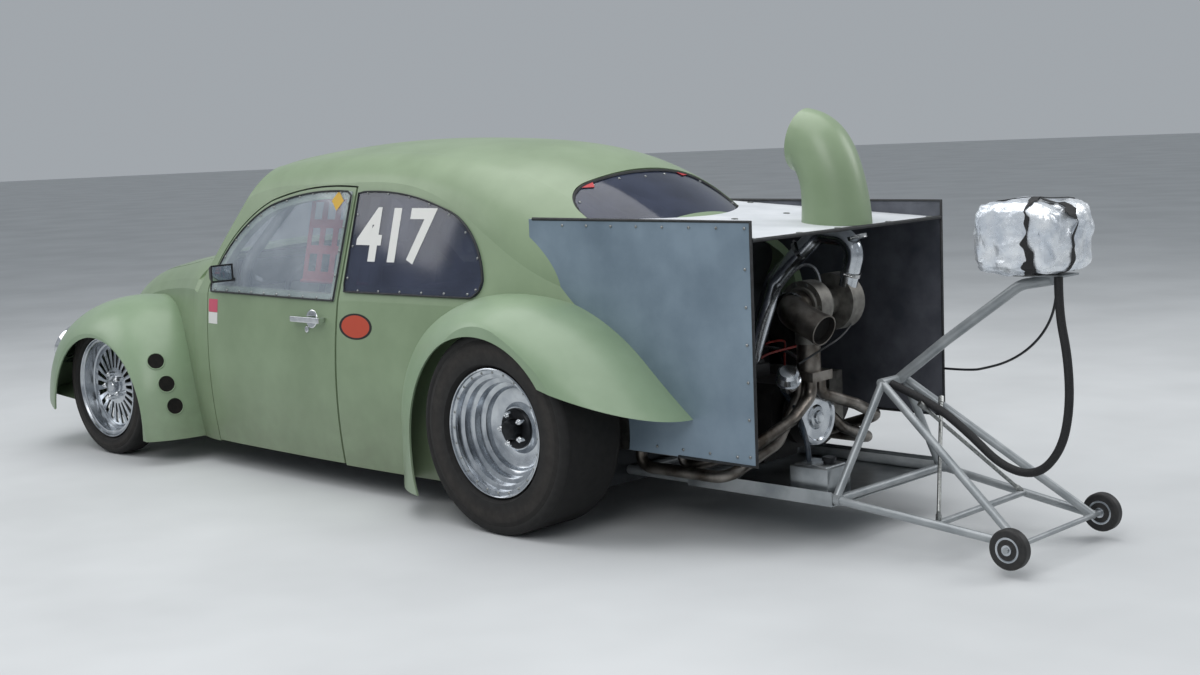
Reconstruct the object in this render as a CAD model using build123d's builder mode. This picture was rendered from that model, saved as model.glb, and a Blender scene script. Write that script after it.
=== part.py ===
from build123d import *
import os
from math import cos, radians, sin, sqrt, tan

os.makedirs("parts", exist_ok=True)

# Rear-engined drag racing car, two doors, millimetres.
# +X points forward, +Y to the car's left, +Z up; the origin is on the ground below the
# middle of the overall length. Body sizes are measured forward from the rear axle.

# Chassis
NOSE_REACH = 2975           # nose and chute pack, measured from the rear axle
TAIL_REACH = 1620
REAR_AXLE_X = (TAIL_REACH - NOSE_REACH) / 2
WHEELBASE = 2400
FRONT_AXLE_X = REAR_AXLE_X + WHEELBASE

# Body shell
WALL = 36                   # doors, quarters, roof and nose
SILL_Z = 96                 # lower edge of the doors and quarters
SHUT_GAP = 6                # round doors and lid
SWING_GAP = 4               # further play along a door's rear edge
FIT = 0.3                   # between curved faces that lie on each other
SKIN = 3                    # sheet metal and moulded fenders' carriers
PANE = 4                    # clear plastic windows

# Tyres and rims: radius, width, outer face from the centre line
FRONT_TYRE_R = 281
FRONT_TYRE_W = 114
FRONT_TYRE_OUT = 716
REAR_TYRE_R = 328
REAR_TYRE_W = 262
REAR_TYRE_OUT = 757
RIM_R = 190                 # bead seat of a 15 inch rim
RIM_LIP_R = 208
HUB_R = 52
STUB_R = 16                 # stub axles in their hubs
RUNNING = 0.05              # radial play of a shaft in its hub

# Engine bay sheets
PANEL_Y = 500               # inner face of the side panels
PANEL_REAR = -861
PANEL_FRONT = 47
PANEL_TOP = 987
PANEL_BOTTOM = 273
DECK_REAR_Z = 930
DECK_FRONT_Z = 984
DECK_SLOPE = (DECK_FRONT_Z - DECK_REAR_Z) / (PANEL_FRONT - PANEL_REAR)

# Tubes
CAGE_TUBE = 41
RAIL_TUBE = 32
BAR_TUBE = 25


def fore(x):
    """Place measured forward from the rear axle."""
    return REAR_AXLE_X + x


def corner_radii(points, limit):
    """Radius at each corner: 0.45 of the shorter run over the tangent of half the turn."""
    radii = []
    for before, corner, after in zip(points, points[1:], points[2:]):
        into = Vector(*corner) - Vector(*before)
        away = Vector(*after) - Vector(*corner)
        turn = radians(into.get_angle(away))
        radii.append(min(limit, 0.45 * min(into.length, away.length) / tan(turn / 2)))
    return radii


def tube(points, limit, diameter):
    """Adds a bent tube of straight runs and tangent arcs to the active part."""
    with BuildLine(mode=Mode.PRIVATE) as route:
        FilletPolyline(*points, radius=corner_radii(points, limit))
    path = route.wires()[0]
    with BuildSketch(Plane(origin=path @ 0, z_dir=path % 0)) as end:
        Circle(diameter / 2)
    add(sweep(end.sketch, path=path, mode=Mode.PRIVATE))


def bar(start, end, diameter):
    """Adds a straight round bar or tube."""
    run = Vector(*end) - Vector(*start)
    with BuildSketch(Plane(origin=start, z_dir=run)) as section:
        Circle(diameter / 2)
    add(extrude(section.sketch, amount=run.length, dir=run.normalized(), mode=Mode.PRIVATE))


def drum(centre, radius, width):
    """Adds a round disc or cylinder along the car's width."""
    with BuildSketch(Plane(origin=centre, z_dir=(0, 1, 0))) as section:
        Circle(radius)
    add(extrude(section.sketch, amount=width / 2, both=True, mode=Mode.PRIVATE))


def slab(x_range, y_range, z_range, mode=Mode.ADD):
    """Adds a block between two corners."""
    size = [high - low for low, high in (x_range, y_range, z_range)]
    middle = [(high + low) / 2 for low, high in (x_range, y_range, z_range)]
    with Locations(tuple(middle)):
        Box(*size, mode=mode)


# Cross-sections of the cabin from the cowl to the tail, half-widths and heights.
# The roof line runs on past the windscreen, which is cut afterwards.
CABIN = [
    # x, sill, middle, belt, belt z, drip, drip z, shoulder, shoulder z, crown z
    (1930, 548, 572, 553, 690, 480, 950, 330, 1058, 1090),
    (1580, 590, 618, 598, 693, 492, 1060, 345, 1168, 1210),
    (1200, 602, 632, 612, 696, 500, 1102, 350, 1203, 1242),
    (830, 604, 634, 614, 698, 503, 1110, 352, 1210, 1248),
    (450, 596, 622, 602, 700, 507, 1046, 358, 1180, 1231),
    (100, 570, 592, 574, 700, 530, 860, 372, 1092, 1168),
    (-120, 530, 545, 525, 690, 494, 760, 350, 985, 1066),
    (-320, 484, 496, 490, 600, 470, 660, 320, 862, 950),
]
NOSE = [
    # x, sill, middle, belt, belt z, drip, drip z, shoulder, shoulder z, crown z
    (1930, 548, 572, 553, 690, 530, 728, 380, 797, 828),
    (2250, 452, 470, 452, 672, 430, 708, 300, 778, 810),
    (2550, 398, 413, 396, 620, 372, 660, 250, 730, 762),
    (2780, 372, 385, 360, 500, 335, 545, 225, 618, 655),
    (2920, 335, 345, 318, 330, 295, 372, 195, 435, 462),
    (NOSE_REACH, 300, 306, 282, 200, 262, 235, 170, 280, 300),
]
NOSE_FRONT = NOSE[-1][0]
TAIL = CABIN[-1][0]
COWL = CABIN[0][0]

# Windscreen: the foot of its middle, rake from upright and bow
SCREEN_X = 1905
SCREEN_Z = 830
SCREEN_RAKE = 40
SCREEN_BOW = 1500


def body_section(row, inset):
    """Closed outline of one cross-section, drawn in the active sketch."""
    _, sill, middle, belt, belt_z, drip, drip_z, shoulder, shoulder_z, crown_z = row
    low = SILL_Z - 2 * inset if inset > 0 else SILL_Z
    middle_z = (SILL_Z + belt_z) / 2
    with BuildLine() as outline:
        for side in (1, -1):
            ThreePointArc(
                (side * (sill - inset), low),
                (side * (middle - inset), middle_z),
                (side * (belt - inset), belt_z),
            )
            Line((side * (belt - inset), belt_z), (side * (drip - inset), drip_z - 0.3 * inset))
            corner = ((drip + shoulder) / 2 + 0.12 * (drip - shoulder), (drip_z + shoulder_z) / 2)
            lift = 0.16 * (shoulder_z - drip_z)
            ThreePointArc(
                (side * (drip - inset), drip_z - 0.3 * inset),
                (side * (corner[0] - 0.7 * inset), corner[1] + lift - 0.7 * inset),
                (side * (shoulder - 0.3 * inset), shoulder_z - inset),
            )
        ThreePointArc(
            (shoulder - 0.3 * inset, shoulder_z - inset),
            (0, crown_z - inset),
            (-shoulder + 0.3 * inset, shoulder_z - inset),
        )
        Line((sill - inset, low), (-sill + inset, low))
    make_face(outline.edges())


def body_loft(rows, inset, front, rear):
    """Smooth solid through the sections; front and rear move the end sections."""
    last = len(rows) - 1
    with BuildPart() as solid:
        for index, row in enumerate(rows):
            lengthen = {0: rear, last: front}.get(index, 0)
            if rows is CABIN:
                lengthen = {0: front, last: rear}.get(index, 0)
            with BuildSketch(Plane.YZ.offset(fore(row[0] + lengthen))):
                body_section(row, inset)
        loft()
    return solid.part


def screen_block(inset):
    """Everything in front of the bowed windscreen surface."""
    rake = radians(SCREEN_RAKE)
    outward = Vector(cos(rake), 0, sin(rake))
    foot = Vector(fore(SCREEN_X), 0, SCREEN_Z) - outward * inset
    reach = 700
    sagitta = SCREEN_BOW - sqrt(SCREEN_BOW**2 - reach**2)
    screen_plane = Plane(origin=foot, x_dir=(0, 1, 0), z_dir=(-sin(rake), 0, cos(rake)))
    with BuildPart() as block:
        with BuildSketch(screen_plane):
            with BuildLine():
                ThreePointArc((-reach, sagitta), (0, 0), (reach, sagitta))
                Polyline((reach, sagitta), (reach, -900), (-reach, -900), (-reach, sagitta))
            make_face()
        extrude(amount=650, both=True)
    return block.part


def cowl_block(inset):
    """Solid below the cowl, which the windscreen's cut leaves in place."""
    x, sill, middle, belt, belt_z, drip, drip_z, shoulder, shoulder_z, crown_z = NOSE[0]
    wide = 700
    with BuildPart() as block:
        with BuildSketch(Plane.YZ.offset(fore(x - 230))):
            with BuildLine():
                ThreePointArc(
                    (shoulder, shoulder_z - inset),
                    (0, crown_z - inset),
                    (-shoulder, shoulder_z - inset),
                )
                for side in (1, -1):
                    Polyline(
                        (side * shoulder, shoulder_z - inset),
                        (side * drip, drip_z - inset),
                        (side * belt, belt_z - inset),
                        (side * wide, belt_z - 60 - inset),
                        (side * wide, -200),
                    )
                Line((-wide, -200), (wide, -200))
            make_face()
        extrude(amount=300)
    return block.part


def cabin_solid(inset, front=0, rear=0):
    """Cabin with the windscreen cut, every face moved in by the inset."""
    with BuildPart() as solid:
        add(body_loft(CABIN, inset, front, rear))
        add(screen_block(inset) - cowl_block(inset), mode=Mode.SUBTRACT)
    return solid.part


CABIN_OUTER = cabin_solid(0)
CABIN_INNER = cabin_solid(WALL, 20, -20)
CABIN_SHELL = CABIN_OUTER - CABIN_INNER
NOSE_OUTER = body_loft(NOSE, 0, 0, 0)
NOSE_INNER = body_loft(NOSE, WALL, -WALL, -20)
NOSE_SHELL = NOSE_OUTER - NOSE_INNER
BODY_OUTER = CABIN_OUTER + NOSE_OUTER

# Side-view outlines of the door, quarter and windows, ahead of the rear axle and above ground
DOOR_FRONT = 1785
DOOR_REAR = 945
DOOR_LEAN = 40              # the rear edge leans back this far at the top
BELT_Z = 694
DOOR_TOP_Z = 1096
WINDOW_FRAME = 42
PANE_LAP = 14               # the pane stops this far inside the door's edge
ARCH_GAP = 34               # round the rear tyre


def door_outline(inset):
    """Door seen from the side, drawn in the active sketch."""
    play = SWING_GAP if inset else 0
    top_rear = fore(DOOR_REAR - DOOR_LEAN + play)
    foot_rear = fore(DOOR_REAR + play)
    with BuildLine() as outline:
        Line((fore(DOOR_FRONT), SILL_Z), (fore(DOOR_FRONT), BELT_Z + 10))
        ThreePointArc(
            (fore(DOOR_FRONT), BELT_Z + 10),
            (fore(DOOR_FRONT - 125), DOOR_TOP_Z - 191),
            (fore(DOOR_FRONT - 345), DOOR_TOP_Z - 50),
        )
        ThreePointArc(
            (fore(DOOR_FRONT - 345), DOOR_TOP_Z - 50),
            (fore(DOOR_FRONT - 585), DOOR_TOP_Z - 6),
            (top_rear, DOOR_TOP_Z),
        )
        Line((top_rear, DOOR_TOP_Z), (foot_rear, SILL_Z))
        Line((foot_rear, SILL_Z), (fore(DOOR_FRONT), SILL_Z))
    make_face(outline.edges())
    if inset:
        offset(amount=-inset, kind=Kind.INTERSECTION, mode=Mode.REPLACE)


def above_belt(height):
    """Cuts the active sketch off below a height."""
    with Locations((fore(DOOR_REAR), height - 1000)):
        Rectangle(3000, 2000, mode=Mode.SUBTRACT)


def quarter_window(grow):
    """Rear side window, drawn in the active sketch."""
    front = fore(DOOR_REAR - 66)
    with BuildLine() as outline:
        Line((front, BELT_Z + 54), (front - 6, DOOR_TOP_Z - 40))
        ThreePointArc((front - 6, DOOR_TOP_Z - 40), (fore(660), 1048), (fore(450), 1002))
        ThreePointArc((fore(450), 1002), (fore(292), 910), (fore(230), 795))
        ThreePointArc((fore(230), 795), (fore(234), 762), (fore(264), BELT_Z + 54))
        Line((fore(264), BELT_Z + 54), (front, BELT_Z + 54))
    make_face(outline.edges())
    if grow:
        offset(amount=grow, kind=Kind.INTERSECTION, mode=Mode.REPLACE)


def quarter_outline():
    """Body side behind the door and below the drip line."""
    top = fore(DOOR_REAR - DOOR_LEAN)
    with BuildLine() as outline:
        ThreePointArc((top, DOOR_TOP_Z), (fore(600), 1074), (fore(331), 990))
        ThreePointArc((fore(331), 990), (fore(145), 872), (fore(-60), 715))
        Polyline(
            (fore(-60), 715),
            (fore(TAIL - 60), 560),
            (fore(TAIL - 60), -200),
            (fore(DOOR_REAR), -200),
            (fore(DOOR_REAR), SILL_Z),
            (top, DOOR_TOP_Z),
        )
    make_face(outline.edges())


def front_outline():
    """Body ahead of the door and below the windscreen."""
    with BuildLine() as outline:
        Polyline(
            (fore(DOOR_FRONT), -200),
            (fore(DOOR_FRONT), BELT_Z + 10),
            (fore(COWL + 30), 880),
            (fore(NOSE_FRONT + 100), 1100),
            (fore(NOSE_FRONT + 100), -200),
            (fore(DOOR_FRONT), -200),
        )
    make_face(outline.edges())


def rear_arch(grow):
    """Wheel opening in the side, open downwards."""
    with Locations((REAR_AXLE_X, REAR_TYRE_R)):
        Circle(REAR_TYRE_R + grow)
    with Locations((REAR_AXLE_X, REAR_TYRE_R / 2 - 200)):
        Rectangle(2 * (REAR_TYRE_R + grow), REAR_TYRE_R + 400)


# Doors
def pane_layer():
    """Thin layer that lies on the outside of the cabin."""
    return cabin_solid(-FIT - PANE) - cabin_solid(-FIT)


PANE_LAYER = pane_layer()

with BuildPart() as left_door:
    add(CABIN_SHELL)
    with BuildSketch(Plane.XZ):
        door_outline(SHUT_GAP)
    extrude(amount=-900, mode=Mode.INTERSECT)
    with BuildSketch(Plane.XZ):
        door_outline(SHUT_GAP + WINDOW_FRAME)
        above_belt(BELT_Z + 22)
    extrude(amount=-900, mode=Mode.SUBTRACT)

with BuildPart() as left_door_pane:
    add(PANE_LAYER)
    with BuildSketch(Plane.XZ):
        door_outline(SHUT_GAP + PANE_LAP)
        above_belt(BELT_Z)
    extrude(amount=-900, mode=Mode.INTERSECT)

# Body sides, roof and nose
with BuildPart() as left_quarter:
    add(CABIN_SHELL)
    with BuildSketch(Plane.XZ):
        quarter_outline()
    extrude(amount=-900, mode=Mode.INTERSECT)
    with BuildSketch(Plane.XZ):
        rear_arch(ARCH_GAP)
    extrude(amount=-900, mode=Mode.SUBTRACT)
    with BuildSketch(Plane.XZ):
        quarter_window(0)
    extrude(amount=-900, mode=Mode.SUBTRACT)

with BuildPart() as left_quarter_pane:
    add(PANE_LAYER)
    with BuildSketch(Plane.XZ):
        quarter_window(20)
    extrude(amount=-900, mode=Mode.INTERSECT)

REAR_WINDOW_X = -128
REAR_WINDOW_SLOPE = 27.5
REAR_WINDOW_LENGTH = 300
REAR_WINDOW_WIDTH = 760


def rear_window_prism(grow, depth):
    """Rear window's outline, square to the sloping roof behind."""
    slope = radians(REAR_WINDOW_SLOPE)
    centre = (fore(REAR_WINDOW_X), 0, 1040)
    window_plane = Plane(origin=centre, x_dir=(0, 1, 0), z_dir=(-sin(slope), 0, cos(slope)))
    with BuildPart() as prism:
        with BuildSketch(window_plane):
            RectangleRounded(
                REAR_WINDOW_WIDTH + 2 * grow, REAR_WINDOW_LENGTH + 2 * grow, 110 + grow
            )
        extrude(amount=depth, both=True)
    return prism.part


def windscreen_prism(grow, depth):
    """Windscreen's outline, square to the raked screen."""
    rake = radians(SCREEN_RAKE)
    outward = Vector(cos(rake), 0, sin(rake))
    upward = Vector(-sin(rake), 0, cos(rake))
    foot = Vector(fore(SCREEN_X), 0, SCREEN_Z)
    half_low = 455 + grow
    half_high = 395 + grow
    low = 45 - grow
    high = 405 + grow
    with BuildPart() as prism:
        with BuildSketch(Plane(origin=foot, x_dir=(0, 1, 0), z_dir=outward)):
            with BuildLine():
                ThreePointArc((-half_low, low + 12), (0, low), (half_low, low + 12))
                Line((half_low, low + 12), (half_high, high - 35))
                ThreePointArc((half_high, high - 35), (0, high), (-half_high, high - 35))
                Line((-half_high, high - 35), (-half_low, low + 12))
            make_face()
        extrude(amount=depth, both=True)
    return prism.part


with BuildPart() as roof_panel:
    add(CABIN_SHELL)
    with BuildSketch(Plane.XZ):
        door_outline(0)
    extrude(amount=900, both=True, mode=Mode.SUBTRACT)
    with BuildSketch(Plane.XZ):
        quarter_outline()
    extrude(amount=900, both=True, mode=Mode.SUBTRACT)
    with BuildSketch(Plane.XZ):
        front_outline()
    extrude(amount=900, both=True, mode=Mode.SUBTRACT)
    add(rear_window_prism(0, 180), mode=Mode.SUBTRACT)
    add(windscreen_prism(0, 180), mode=Mode.SUBTRACT)


with BuildPart() as windscreen:
    add(cabin_solid(10) - cabin_solid(10 + PANE))
    add(windscreen_prism(-FIT, 180), mode=Mode.INTERSECT)

with BuildPart() as rear_window:
    add(body_loft(CABIN, 10, 0, 0) - body_loft(CABIN, 10 + PANE, 0, 0))
    add(rear_window_prism(-FIT, 180), mode=Mode.INTERSECT)

# Front lid, hinged at the cowl
LID_REAR = 1990
LID_NOSE_Z = 455
LID_HALF = 380             # half width at the hinge; straight there so the lid can swing
LID_STRAIGHT = 160
FRONT_FLOOR_Z = 385
WELL_REAR = 2090            # front wheel opening in the nose's sides
WELL_FRONT = 2722


def lid_zone(inset):
    """Space of the front lid: its top view within its side view."""
    with BuildPart() as zone:
        with BuildSketch(Plane.XY):
            with BuildLine():
                for side in (1, -1):
                    Line(
                        (fore(LID_REAR), side * LID_HALF),
                        (fore(LID_REAR + LID_STRAIGHT), side * LID_HALF),
                    )
                    ThreePointArc(
                        (fore(LID_REAR + LID_STRAIGHT), side * LID_HALF),
                        (fore(LID_REAR + 390), side * 335),
                        (fore(LID_REAR + 610), side * 283),
                    )
                    ThreePointArc(
                        (fore(LID_REAR + 610), side * 283),
                        (fore(LID_REAR + 830), side * 232),
                        (fore(LID_REAR + 1010), side * 120),
                    )
                Line((fore(LID_REAR), LID_HALF), (fore(LID_REAR), -LID_HALF))
                Line((fore(LID_REAR + 1010), 120), (fore(LID_REAR + 1010), -120))
            make_face()
            if inset:
                offset(amount=-inset, kind=Kind.INTERSECTION, mode=Mode.REPLACE)
        extrude(amount=1200)
        with BuildSketch(Plane.XZ):
            with BuildLine():
                Polyline(
                    (fore(LID_REAR - 30), LID_NOSE_Z - 26),
                    (fore(LID_REAR - 30), 1000),
                    (fore(NOSE_FRONT + 100), 1000),
                    (fore(NOSE_FRONT + 100), LID_NOSE_Z + 101),
                    (fore(NOSE_FRONT - 95), LID_NOSE_Z - 26),
                    (fore(LID_REAR - 30), LID_NOSE_Z - 26),
                )
            make_face()
            if inset:
                offset(amount=-inset, kind=Kind.INTERSECTION, mode=Mode.REPLACE)
        extrude(amount=900, both=True, mode=Mode.INTERSECT)
    return zone.part


def nose_slice(solid, x, thickness):
    """Cross wall of sheet inside the nose or cabin."""
    with BuildPart() as wall:
        with BuildSketch(Plane.YZ.offset(fore(x))):
            Rectangle(1400, 2600)
        extrude(amount=thickness)
        add(solid, mode=Mode.INTERSECT)
    return wall.part


def cut_below(height):
    """Trims the active part level at a height."""
    with BuildSketch(Plane.XY.offset(height - 400)) as sheet:
        Rectangle(8000, 2000)
    extrude(sheet.sketch, amount=400, mode=Mode.SUBTRACT)


def floor_slice(solid, height):
    """Level sheet inside the nose or cabin."""
    with BuildPart() as sheet:
        with BuildSketch(Plane.XY.offset(height)):
            Rectangle(8000, 1400)
        extrude(amount=SKIN)
        add(solid, mode=Mode.INTERSECT)
    return sheet.part


LID_HINGE = (1993, 843)
LID_HINGE_Y = (-150, 150)
PIN_R = 3
BARREL_R = 7
BARREL = 20                 # length of the lid's barrel; the body's two stand at its ends


def barrel(at, height, start, end, leg):
    """Hinge barrel across the car on a leg, from one y to another; legs point back or ahead."""
    with BuildSketch(Plane.XZ.offset(-start)) as ring:
        with Locations((fore(at), height)):
            Circle(BARREL_R)
    extrude(ring.sketch, amount=start - end)
    slab(
        sorted((fore(at + leg * 4), fore(at + leg * 21))),
        (start, end),
        (height - 30, height + 3),
    )


def lid_pin(y, radius, mode):
    """Hinge pin of the lid, added to the active part or cut from it."""
    with BuildSketch(Plane.XZ.offset(-y + BARREL)) as pin:
        with Locations((fore(LID_HINGE[0]), LID_HINGE[1])):
            Circle(radius)
    extrude(pin.sketch, amount=-2 * BARREL, mode=mode)


with BuildPart() as front_body:
    add(CABIN_SHELL)
    with BuildSketch(Plane.XZ):
        front_outline()
    extrude(amount=900, both=True, mode=Mode.INTERSECT)
    add(NOSE_SHELL)
    add(nose_slice(CABIN_INNER, COWL - 25, SKIN))
    add(floor_slice(NOSE_INNER, FRONT_FLOOR_Z))
    with BuildSketch(Plane.XZ):
        with BuildLine():
            Polyline(
                (fore(WELL_REAR), -200),
                (fore(WELL_REAR), FRONT_FLOOR_Z + 1),
                (fore(WELL_FRONT), FRONT_FLOOR_Z + 1),
                (fore(WELL_FRONT), -200),
                (fore(WELL_REAR), -200),
            )
        make_face()
    extrude(amount=900, both=True, mode=Mode.SUBTRACT)
    add(lid_zone(0), mode=Mode.SUBTRACT)
    cut_below(SILL_Z)
    for y in LID_HINGE_Y:
        barrel(*LID_HINGE, y - BARREL, y - BARREL / 2, -1)
        barrel(*LID_HINGE, y + BARREL / 2, y + BARREL, -1)
        lid_pin(y, PIN_R, Mode.ADD)

with BuildPart() as front_lid:
    add(NOSE_SHELL)
    add(lid_zone(SHUT_GAP), mode=Mode.INTERSECT)
    for y in LID_HINGE_Y:
        barrel(*LID_HINGE, y - BARREL / 2 + FIT, y + BARREL / 2 - FIT, 1)
        lid_pin(y, PIN_R + RUNNING, Mode.SUBTRACT)


# Fenders: each is lofted sideways from its root outline on the body to its outer outline.
# Points run from the lower front or rear foot over the top; columns are ahead, up.
FENDER_SKIN = 6
FENDER_ROOT = [
    # front fender x, z; rear fender x, z
    ((1925, 100), (606, 60)),
    ((1962, 300), (622, 300)),
    ((2110, 560), (430, 656)),
    ((2390, 650), (-110, 728)),
    ((2760, 530), (-440, 548)),
    ((2962, 240), (-820, 250)),
]
FENDER_LIP = [
    ((2002, 100), (352, 60)),
    ((2040, 250), (312, 300)),
    ((2150, 425), (222, 556)),
    ((2378, 512), (-70, 648)),
    ((2610, 425), (-225, 552)),
    ((2720, 170), (-318, 420)),
]
FRONT_ROOT_Y = 540
FRONT_LIP_Y = 776
REAR_ROOT_Y = PANEL_Y + SKIN
REAR_LIP_Y = 780
FENDER_FOOT_Z = 90
BULGE = (0.95, 0.8, 0.58, 0.32, 0)      # sideways steps of a unit ellipse's quarter
FRONT_INNER_Y = 330


def fender_section(column, share, inset):
    """Outline part of the way from root to lip, moved in by the inset."""
    inward = [(1, 0), (1, 0), (0.75, -0.66), (0, -1), (-0.6, -0.8), (-1, 0)]
    if column == 1:
        inward = [(-1, 0), (-1, 0), (-0.6, -0.8), (0, -1), (0.5, -0.87), (0.6, -0.8)]
    points = []
    for root, lip, way in zip(FENDER_ROOT, FENDER_LIP, inward):
        x = root[column][0] + share * (lip[column][0] - root[column][0])
        z = root[column][1] + share * (lip[column][1] - root[column][1])
        points.append(Vector(fore(x + way[0] * inset), z + way[1] * inset))
    with BuildLine() as outline:
        run = Line(points[0], points[1])
        for start, end in zip(points[1:-1], points[2:]):
            run = TangentArc(start, end, tangent=run % 1)
        Line(points[-1], points[0])
    make_face(outline.edges())


def fender_solid(column, root_y, lip_y, inset, inner_y):
    """Fender's bulk between its root and its outer face, bulging like part of an ellipse."""
    last_step = BULGE[0]
    with BuildPart() as solid:
        for step in BULGE:
            share = (1 - sqrt(1 - step**2)) / (1 - sqrt(1 - last_step**2))
            out = root_y + step / last_step * (lip_y - inset - root_y)
            with BuildSketch(Plane.XZ.offset(-out)):
                fender_section(column, share, inset)
        with BuildSketch(Plane.XZ.offset(-inner_y)):
            fender_section(column, 0, inset)
        loft()
    return solid.part


def arch_cut(outline_points, arc_points):
    """Wheel opening as a prism through the fender's outer side."""
    with BuildPart() as cut:
        with BuildSketch(Plane.XZ):
            with BuildLine():
                start, over, end = arc_points
                ThreePointArc(start, over, end)
                Polyline(end, *outline_points, start)
            make_face()
        extrude(amount=-1000)
    return cut.part


front_arch = arch_cut(
    [(fore(2712), -100), (fore(2028), -100)],
    [(fore(2028), 130), (fore(2378), 497), (fore(2712), 130)],
)
rear_opening = arch_cut(
    [(fore(-900), 319), (fore(-900), -100), (fore(345), -100)],
    [(fore(345), 84), (fore(40), 636), (fore(-240), 492)],
)

with BuildPart() as left_front_fender:
    add(fender_solid(0, FRONT_ROOT_Y, FRONT_LIP_Y, 0, FRONT_INNER_Y))
    add(
        fender_solid(0, FRONT_ROOT_Y, FRONT_LIP_Y, FENDER_SKIN, FRONT_INNER_Y - 10),
        mode=Mode.SUBTRACT,
    )
    add(front_arch, mode=Mode.SUBTRACT)
    add(BODY_OUTER, mode=Mode.SUBTRACT)
    cut_below(FENDER_FOOT_Z)

with BuildPart() as left_rear_fender:
    add(fender_solid(1, REAR_ROOT_Y, REAR_LIP_Y, 0, REAR_ROOT_Y - 3))
    add(
        fender_solid(1, REAR_ROOT_Y, REAR_LIP_Y, FENDER_SKIN, REAR_ROOT_Y - 13),
        mode=Mode.SUBTRACT,
    )
    add(rear_opening, mode=Mode.SUBTRACT)
    add(BODY_OUTER, mode=Mode.SUBTRACT)
    cut_below(FENDER_FOOT_Z)
    with BuildSketch(Plane.XZ.offset(-REAR_ROOT_Y)):
        Rectangle(8000, 3000)
    extrude(amount=300, mode=Mode.SUBTRACT)

# Floor, bulkhead and engine bay sheets
FLOOR_Z = 108
TUB_Y = 474                 # inner wall of the rear wheel tubs
BULKHEAD_X = -150
SHELF_Z = 700
TUNNEL_X = (360, 1640)
GEARBOX_R = 165

with BuildPart() as floor_pan:
    add(floor_slice(CABIN_INNER, FLOOR_Z))
    with BuildSketch(Plane.XZ):
        rear_arch(ARCH_GAP + SKIN)
    extrude(amount=900, both=True, mode=Mode.SUBTRACT)
    slab((fore(-700), fore(BULKHEAD_X)), (-900, 900), (0, 400), mode=Mode.SUBTRACT)
    with BuildSketch(Plane.XY.offset(FLOOR_Z)):
        with Locations((fore((BULKHEAD_X + REAR_TYRE_R + ARCH_GAP + 60) / 2), 0)):
            Rectangle(REAR_TYRE_R + ARCH_GAP + 60 - BULKHEAD_X, 2 * TUB_Y)
    extrude(amount=SKIN)
    with BuildSketch(Plane.YZ.offset(fore(TUNNEL_X[0]))):
        with Locations((0, FLOOR_Z + SKIN)):
            RectangleRounded(230, 2 * 165, 60)
            RectangleRounded(230 - 2 * SKIN, 2 * (165 - SKIN), 60 - SKIN, mode=Mode.SUBTRACT)
            with Locations((0, -200)):
                Rectangle(400, 400, mode=Mode.SUBTRACT)
    extrude(amount=TUNNEL_X[1] - TUNNEL_X[0])
    slab((fore(COWL - 25), fore(COWL + 100)), (-900, 900), (0, 400), mode=Mode.SUBTRACT)

with BuildPart() as left_wheel_tub:
    with BuildSketch(Plane.XZ.offset(-TUB_Y)):
        rear_arch(ARCH_GAP + SKIN)
    extrude(amount=-140)
    with BuildSketch(Plane.XZ.offset(-TUB_Y - SKIN)):
        rear_arch(ARCH_GAP)
    extrude(amount=-140, mode=Mode.SUBTRACT)
    add(CABIN_INNER, mode=Mode.INTERSECT)
    cut_below(FLOOR_Z + SKIN)
    with BuildSketch(Plane.XZ.offset(-TUB_Y + 5)):
        with Locations((REAR_AXLE_X, REAR_TYRE_R)):
            Circle(64)
    extrude(amount=-20, mode=Mode.SUBTRACT)
    slab((fore(-700), fore(BULKHEAD_X)), (0, 900), (0, 1000), mode=Mode.SUBTRACT)

with BuildPart() as rear_bulkhead:
    with BuildSketch(Plane.XZ):
        with BuildLine():
            Polyline(
                (fore(BULKHEAD_X), FLOOR_Z),
                (fore(BULKHEAD_X), SHELF_Z),
                (fore(TAIL + 20), 890),
                (fore(TAIL + 20), 890 - SKIN),
                (fore(BULKHEAD_X) - SKIN, SHELF_Z - SKIN),
                (fore(BULKHEAD_X) - SKIN, FLOOR_Z),
                (fore(BULKHEAD_X), FLOOR_Z),
            )
        make_face()
    extrude(amount=700, both=True)
    add(body_loft(CABIN, WALL, 0, 0), mode=Mode.INTERSECT)
    with BuildSketch(Plane.YZ.offset(fore(BULKHEAD_X - 20))):
        with Locations((0, REAR_TYRE_R)):
            Circle(GEARBOX_R + 8)
    extrude(amount=40, mode=Mode.SUBTRACT)
    for side in (1, -1):
        with BuildSketch(Plane.XZ.offset(-side * TUB_Y)):
            rear_arch(ARCH_GAP)
        extrude(amount=-side * 200, mode=Mode.SUBTRACT)
    add(CABIN_SHELL, mode=Mode.SUBTRACT)

with BuildPart() as left_side_panel:
    with BuildSketch(Plane.XZ.offset(-PANEL_Y)):
        with BuildLine():
            Polyline(
                (fore(PANEL_REAR), PANEL_BOTTOM),
                (fore(PANEL_REAR), PANEL_TOP),
                (fore(PANEL_FRONT), PANEL_TOP),
                (fore(PANEL_FRONT), SHELF_Z),
                (fore(BULKHEAD_X), PANEL_BOTTOM),
                (fore(PANEL_REAR), PANEL_BOTTOM),
            )
        make_face()
        with Locations((REAR_AXLE_X, REAR_TYRE_R)):
            Circle(REAR_TYRE_R + ARCH_GAP, mode=Mode.SUBTRACT)
    extrude(amount=-SKIN)
    add(BODY_OUTER, mode=Mode.SUBTRACT)

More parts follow.
